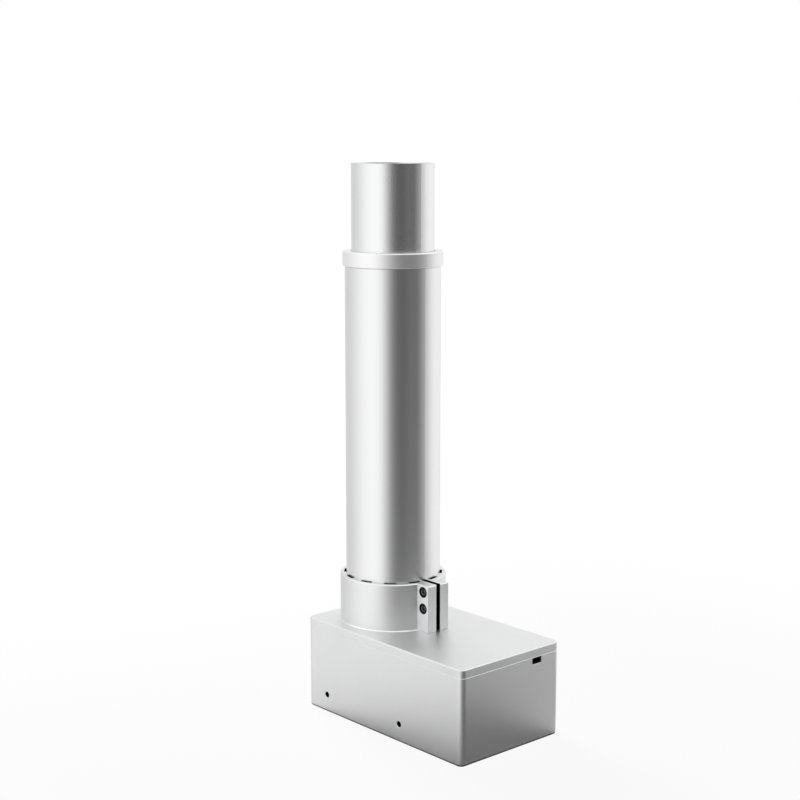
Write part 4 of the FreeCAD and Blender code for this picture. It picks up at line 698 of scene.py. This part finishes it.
def thread(mesh, radius, pitch, start, end, profile=THREAD_PROFILE, deep=THREAD_DEEP, steps=THREAD_STEPS):
    """A shell whose surface is one thread from start to end, cut this share of its pitch deep."""
    root = radius - deep * pitch
    turns = math.ceil((end - start) / pitch) + 2
    rows = []
    for number in range(turns):
        for share, crest in profile:
            row = []
            for i in range(steps):
                depth = start + pitch * (number - 1 + share + i / steps)
                held = min(max(depth, start), end)
                wide = crest if held == depth else 0
                r = min(root + wide * (radius - root), root + max(0.0, end - held))
                a = 2 * math.pi * i / steps
                row.append(mesh.verts.new((r * math.cos(a), r * math.sin(a), held)))
            rows.append(row)
    turn_rows = len(profile)
    for k in range(len(rows) - turn_rows - 1):
        for i in range(steps - 1):
            mesh.faces.new((rows[k][i], rows[k][i + 1], rows[k + 1][i + 1], rows[k + 1][i]))
        mesh.faces.new((rows[k][-1], rows[k + turn_rows][0], rows[k + turn_rows + 1][0], rows[k + 1][-1]))


print("thread of", len(THREAD_PROFILE), "rows to a pitch")

# %% [markdown]
# A whole screw is a head, a plain neck if the screw is long, and a thread, whose pitch in millimetres
# follows from its radius. Edges sharper than 35 degrees stay sharp, and the rest is shaded smooth.

# %% Whole screws
PITCHES = {1.5: 0.5, 2.0: 0.7, 2.5: 0.8, 3.0: 1.0}
THREADED_RADII = 5
SHARP_ANGLE = math.radians(35)


def screw_mesh(size, hexagonal):
    """One screw with its head's top at the origin and its shank along +Z."""
    mesh = bmesh.new()
    ring_stack(mesh, head_rows(size, hexagonal), HEAD_STEPS)
    shank = size["shank"]
    pitch = PITCHES[min(PITCHES, key=lambda r: abs(r * MM - shank))] * MM
    neck = size["rise"] - HAIR
    threaded = size["length"] - THREADED_RADII * shank
    if threaded > size["rise"]:
        ring_stack(mesh, [lambda _: (shank, neck), lambda _: (shank, threaded)], THREAD_STEPS)
    else:
        threaded = neck
    thread(mesh, shank, pitch, threaded, size["length"])
    bmesh.ops.remove_doubles(mesh, verts=mesh.verts, dist=WELD / 2)
    bmesh.ops.recalc_face_normals(mesh, faces=mesh.faces)
    return mesh


def new_piece(name, mesh, body, material):
    data = bpy.data.meshes.new(name)
    mesh.to_mesh(data)
    mesh.free()
    data.shade_smooth()
    data.set_sharp_from_angle(angle=SHARP_ANGLE)
    piece = bpy.data.objects.new(name, data)
    bpy.context.scene.collection.objects.link(piece)
    piece.data.materials.append(material)
    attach(piece, body)
    return piece


print("pitches in mm by radius:", PITCHES)

# %% [markdown]
# The two clamp screws are the only ones in view. They are black oxide steel, with a painted highlight
# in a lighter colour inside their sockets, where a lighter hexagon shows.

# %% Black oxide
# The lighter colour painted inside the sockets, a painted highlight.
SOCKET_PAINTED_HIGHLIGHT = (0.26, 0.26, 0.27)


def clamp_screw_metal():
    """Black oxide with a painted highlight inside the sockets."""
    finish = Finish("black_oxide_screw", (0.012, 0.012, 0.013), 0.34, metallic=1.0)
    grain = finish.noise(FINE, detail=3)
    one, other = (finish.near_line(size["start"], size["socket"]) for size in screws["clamp_screws"])
    socket_highlight = one + other
    black = finish.blend(grain, (0.008, 0.008, 0.009), (0.016, 0.016, 0.017))
    # Painted highlight: a lighter colour inside the sockets.
    finish.drive("Base Color", finish.mix(socket_highlight, black, (*SOCKET_PAINTED_HIGHLIGHT, 1)))
    finish.drive("Roughness", 0.28 + 0.12 * grain)
    finish.bump(grain, 0.00003, 0.4)
    return finish.material


finishes["dark_screw_steel"] = clamp_screw_metal()
print("sockets worn:", len(screws["clamp_screws"]))

# %% [markdown]
# Each screw is made once along +Z with its head's top at the origin, turned onto its own axis and moved
# to its place. All screws of a node become one piece, which rides on the node's body and replaces it.

# %% Place the screws
body_of = {node: body for body, nodes in frame["record"]["behaviour"]["bodies"].items() for node in nodes}
for node, sizes in screws.items():
    whole = bmesh.new()
    for size in sizes:
        one = screw_mesh(size, size["socket"] == 0)
        place = size["inward"].to_track_quat("Z", "X").to_matrix().to_4x4()
        place.translation = size["start"]
        one.transform(place)
        spare = bpy.data.meshes.new("spare")
        one.to_mesh(spare)
        one.free()
        whole.from_mesh(spare)
        bpy.data.meshes.remove(spare)
    made = new_piece(node + "_threaded", whole, body_of[node], finishes[slots[node]])
    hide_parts(node)
print("screws rebuilt:", sum(len(sizes) for sizes in screws.values()))

# %% [markdown]
# ## The lead screw
#
# The screw that lifts the column has a trapezoidal thread of 5 mm lead, right-handed like its joint. Its
# journals, keyway and collar are kept from the CAD piece. Only the long plain cylinder goes: its longest
# straight edge tells where it is, the faces beside it narrow to the thread's root, and the thread is
# built between them.

# %% Lead screw
SCREW_LEAD = 5 * MM
TRAPEZOID = ((0.0, 1), (0.366, 1), (0.513, 0), (0.853, 0))
TRAPEZOID_DEEP = 0.55


def cut_lead_screw():
    """The CAD piece with its long plain cylinder cut to a trapezoidal thread."""
    mesh = bmesh.new()
    mesh.from_mesh(frame["nodes"]["lead_screw"].data)
    bmesh.ops.remove_doubles(mesh, verts=mesh.verts, dist=WELD)
    longest = max(mesh.edges, key=lambda edge: abs(edge.verts[0].co.z - edge.verts[1].co.z))
    low, high = sorted(vertex.co.z for vertex in longest.verts)
    crest = longest.verts[0].co.xy.length

    def on_cylinder(vertex):
        return abs(vertex.co.xy.length - crest) < HAIR and low - HAIR < vertex.co.z < high + HAIR

    plain = [face for face in mesh.faces if abs(face.normal.z) < 0.5 and all(map(on_cylinder, face.verts))]
    bmesh.ops.delete(mesh, geom=plain, context="FACES")
    for vertex in filter(on_cylinder, mesh.verts):
        vertex.co.xy *= (crest - TRAPEZOID_DEEP * SCREW_LEAD) / crest
    thread(mesh, crest, SCREW_LEAD, low, high, TRAPEZOID, TRAPEZOID_DEEP, 2 * THREAD_STEPS)
    bmesh.ops.remove_doubles(mesh, verts=mesh.verts, dist=WELD / 2)
    bmesh.ops.recalc_face_normals(mesh, faces=mesh.faces)
    print("thread from", round(low / MM, 1), "to", round(high / MM, 1), "mm, radius", round(crest / MM, 2))
    return mesh


lead = new_piece("lead_screw_threaded", cut_lead_screw(), body_of["lead_screw"], finishes["bearing_steel"])
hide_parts("lead_screw")

# %% [markdown]
# ## The trim at the collar's foot
#
# A thin light line runs round the collar where it meets the lid, and stops at the lugs. It is a narrow
# trim ring that covers the joint: a three-sided section carried round the collar's axis, whose sloping
# side mirrors the bright band overhead.

# %% Collar trim
TRIM_WIDTH = 0.8 * MM
TRIM_STEPS = 240
TRIM_DEPTH = 0.00002
LUG_HALF = 13.6 * MM


def trim_mesh():
    """A three-sided section carried round the collar from one lug to the other."""
    mesh = bmesh.new()
    inner = collar_high.y - HAIR
    outer = collar_high.y + TRIM_WIDTH
    foot = collar_low.z - HAIR
    section = ((inner, foot), (outer, foot), (inner, collar_low.z + TRIM_WIDTH))
    first = math.asin(LUG_HALF / collar_high.y)
    turns = [first + (2 * math.pi - 2 * first) * i / TRIM_STEPS for i in range(TRIM_STEPS + 1)]
    rings = [[mesh.verts.new((r * math.cos(a), r * math.sin(a), z)) for r, z in section] for a in turns]
    for one, following in zip(rings, rings[1:]):
        for i in range(3):
            j = (i + 1) % 3
            mesh.faces.new((one[i], one[j], following[j], following[i]))
    mesh.faces.new(rings[0])
    mesh.faces.new(rings[-1])
    bmesh.ops.recalc_face_normals(mesh, faces=mesh.faces)
    return mesh


trim_metal = aluminium("polished_trim", WHITE, 0.25, blasted, TRIM_DEPTH)
trim = new_piece("collar_trim", trim_mesh(), body_of["clamp_collar"], trim_metal)
print("collar trim of", len(trim.data.polygons), "faces")

# %% [markdown]
# ## The floor
#
# The floor is a plain sheet of light grey paper. For the camera it glows at just under white and keeps a
# trace of the column's shadow. For a reflection it is the real lit paper near the box, whose shadow
# darkens the foot of the box's sides, and further out it gives way to the room, because the tubes mirror
# the room and not the floor.

# %% Floor paper
PAPER = (0.60, 0.60, 0.60)
CAMERA_SHARE = 0.93
SHADOW_NEAR = 0.30
SHADOW_FAR = 0.75
MIRROR_MIDDLE = (0.16, 0.06, 0)
MIRROR_NEAR = 0.16
MIRROR_FAR = 0.41


def floor_material():
    """Pale paper whose glow is only for the camera."""
    finish = Finish("floor_paper", PAPER, 0.9)
    finish.shader.inputs["Specular IOR Level"].default_value = 0.0
    path = finish.node("ShaderNodeLightPath", {}, {})
    glow = finish.node("ShaderNodeEmission", {}, {"Color": (1, 1, 1, 1), "Strength": 1.0})
    share = CAMERA_SHARE + (1 - CAMERA_SHARE) * finish.rise(finish.radius(), SHADOW_NEAR, SHADOW_FAR)
    lit = finish.node(
        "ShaderNodeMixShader",
        {},
        {0: Signal(finish, path.outputs["Is Camera Ray"]) * share, 1: finish.shader.outputs[0],
         2: glow.outputs[0]},
    )
    far = finish.rise(finish.distance(MIRROR_MIDDLE), MIRROR_NEAR, MIRROR_FAR)
    clear = finish.node("ShaderNodeBsdfTransparent", {}, {})
    paper = finish.node(
        "ShaderNodeMixShader",
        {},
        {0: Signal(finish, path.outputs["Is Glossy Ray"]) * far, 1: lit.outputs[0], 2: clear.outputs[0]},
    )
    finish.send(paper, "Material Output")
    return finish.material


paper_material = floor_material()
print("paper with", len(paper_material.node_tree.nodes), "nodes")

# %% [markdown]
# The sheet is one square at the height of the box's underside. It is set dressing, so it isn't part of
# the column's size.

# %% Floor
FLOOR_HALF = 4.0
floor_mesh = bpy.data.meshes.new("floor")
floor_mesh.from_pydata(
    [(-FLOOR_HALF, -FLOOR_HALF, 0), (FLOOR_HALF, -FLOOR_HALF, 0), (FLOOR_HALF, FLOOR_HALF, 0),
     (-FLOOR_HALF, FLOOR_HALF, 0)],
    [], [(0, 1, 2, 3)],
)
floor = bpy.data.objects.new("floor", floor_mesh)
bpy.context.scene.collection.objects.link(floor)
floor.data.materials.append(paper_material)
print("floor", FLOOR_HALF * 2, "m across")

# %% [markdown]
# ## The room that the metal mirrors
#
# Bare metal has no colour of its own to show: it shows the room. Reading round the column from the
# camera, the room has a tall softbox on the left, a dark flat on the right and pale walls behind. Each is
# written as an angle to the right of the camera and a brightness, and a ramp draws soft steps between
# them. A band at 45 degrees overhead is bright all round: bevelled edges mirror it as thin light lines.
# Straight above it fades, so that flat tops stay below white. Below the horizon a little of a low wall
# is mixed in. Diffuse surfaces are lit by a plain even level instead, and the camera sees plain white.

# %% Room
ROOM_STRENGTH = 1.6
ROOM_RING = [
    (-180, 0.84), (-165, 0.80), (-150, 0.76), (-130, 0.72), (-112, 0.82), (-98, 0.90), (-84, 1.02),
    (-70, 1.10), (-45, 1.15), (-32, 1.12), (-22, 0.86), (-12, 0.48), (-2, 0.20), (8, 0.11), (25, 0.10),
    (45, 0.17), (58, 0.12), (66, 0.15), (76, 0.33), (88, 0.62), (100, 0.90), (118, 1.02), (140, 1.00),
    (160, 0.94), (180, 0.84),
]
OVERHEAD = 1.26
ZENITH = 0.96
LOW_WALL = 0.60
LOW_SHARE = 0.14
FILL = 0.16
LOW_FROM, LOW_TO = -16, -11.5
OVERHEAD_FROM, OVERHEAD_TO = 28, 44
ZENITH_FROM, ZENITH_TO = 52, 66
print("room of", len(ROOM_RING), "stops, overhead", OVERHEAD)

# %% [markdown]
# The world's nodes turn a ray's direction so that the camera lies at angle zero, and take its angle round
# the column from its level parts and its elevation from its height. The ring's brightness is divided by
# the background's strength, because a ramp's colours end at 1.

# %% Light the room
world = bpy.data.worlds.new("pale_room")
bpy.context.scene.world = world
room = Nodes(world)
direction = room.node("ShaderNodeTexCoord", {}, {}).outputs["Generated"]
turned = room.node("ShaderNodeMapping", {}, {"Vector": direction, "Rotation": (0, 0, -CAMERA_AZIMUTH)})
axes = room.node("ShaderNodeSeparateXYZ", {}, {0: turned.outputs[0]}).outputs
arc = room.node("ShaderNodeMath", {"operation": "ARCTAN2"}, {0: axes[1], 1: axes[0]})
angle = Signal(room, arc.outputs[0])
ring_stops = [(0.5 + degrees / 360, level / ROOM_STRENGTH) for degrees, level in ROOM_RING]
ring = room.node("ShaderNodeValToRGB", {"stops": ring_stops}, {0: 0.5 + angle * (0.5 / math.pi)})


def above(start, end):
    """A smooth step from 0 to 1 between two elevations in degrees."""
    return room.rise(axes[2], math.sin(math.radians(start)), math.sin(math.radians(end)))


def grey(brightness):
    """The colour that gives this brightness at the room's strength."""
    return (*(brightness / ROOM_STRENGTH,) * 3, 1)


foot = room.mix(LOW_SHARE * (1 - above(LOW_FROM, LOW_TO)), ring.outputs[0], grey(LOW_WALL))
top = room.mix(above(ZENITH_FROM, ZENITH_TO), grey(OVERHEAD), grey(ZENITH))
walls = room.mix(above(OVERHEAD_FROM, OVERHEAD_TO), foot, top)
mirrored = room.node("ShaderNodeBackground", {}, {"Color": walls, "Strength": ROOM_STRENGTH})
even = room.node("ShaderNodeBackground", {}, {"Color": (1, 1, 1, 1), "Strength": FILL})
white = room.node("ShaderNodeBackground", {}, {"Color": (1, 1, 1, 1), "Strength": 1.0})
rays = room.node("ShaderNodeLightPath", {}, {}).outputs
lit_room = room.node(
    "ShaderNodeMixShader", {}, {0: rays["Is Glossy Ray"], 1: even.outputs[0], 2: mirrored.outputs[0]}
)
seen_room = room.node(
    "ShaderNodeMixShader", {}, {0: rays["Is Camera Ray"], 1: lit_room.outputs[0], 2: white.outputs[0]}
)
room.send(seen_room, "World Output")
print("world nodes:", len(room.tree.nodes))

# %% [markdown]
# ## The lamp
#
# One large softbox stands high behind the column, a little to the left, so the box's short end and foot
# lie in shade. It is kept out of the reflections, where the room already shows its own softbox.

# %% Lamp
LAMP_AIM = Vector((0, 0, 0.1))


def studio_direction(turn):
    """A level direction from the column, this many degrees to the right of the camera."""
    angle = CAMERA_AZIMUTH + math.radians(turn)
    return Vector((math.cos(angle), math.sin(angle), 0))


def softbox(name, turn, distance, height, width, tall, power):
    """An area lamp that faces the middle of the column."""
    data = bpy.data.lights.new(name, "AREA")
    data.shape = "RECTANGLE"
    data.size = width
    data.size_y = tall
    data.energy = power
    lamp = bpy.data.objects.new(name, data)
    bpy.context.scene.collection.objects.link(lamp)
    lamp.location = studio_direction(turn) * distance + Vector((0, 0, height))
    towards = LAMP_AIM - lamp.location
    lamp.rotation_euler = towards.to_track_quat("-Z", "Y").to_euler()
    lamp.visible_glossy = False
    return lamp


key = softbox("key_softbox", turn=-151, distance=1.3, height=0.75, width=0.7, tall=0.7, power=38)
print("lamp at", [round(value, 2) for value in key.location])

# %% [markdown]
# ## The picture
#
# The Standard view shows a colour as it is written.

# %% The picture
bpy.context.scene.view_settings.view_transform = "Standard"
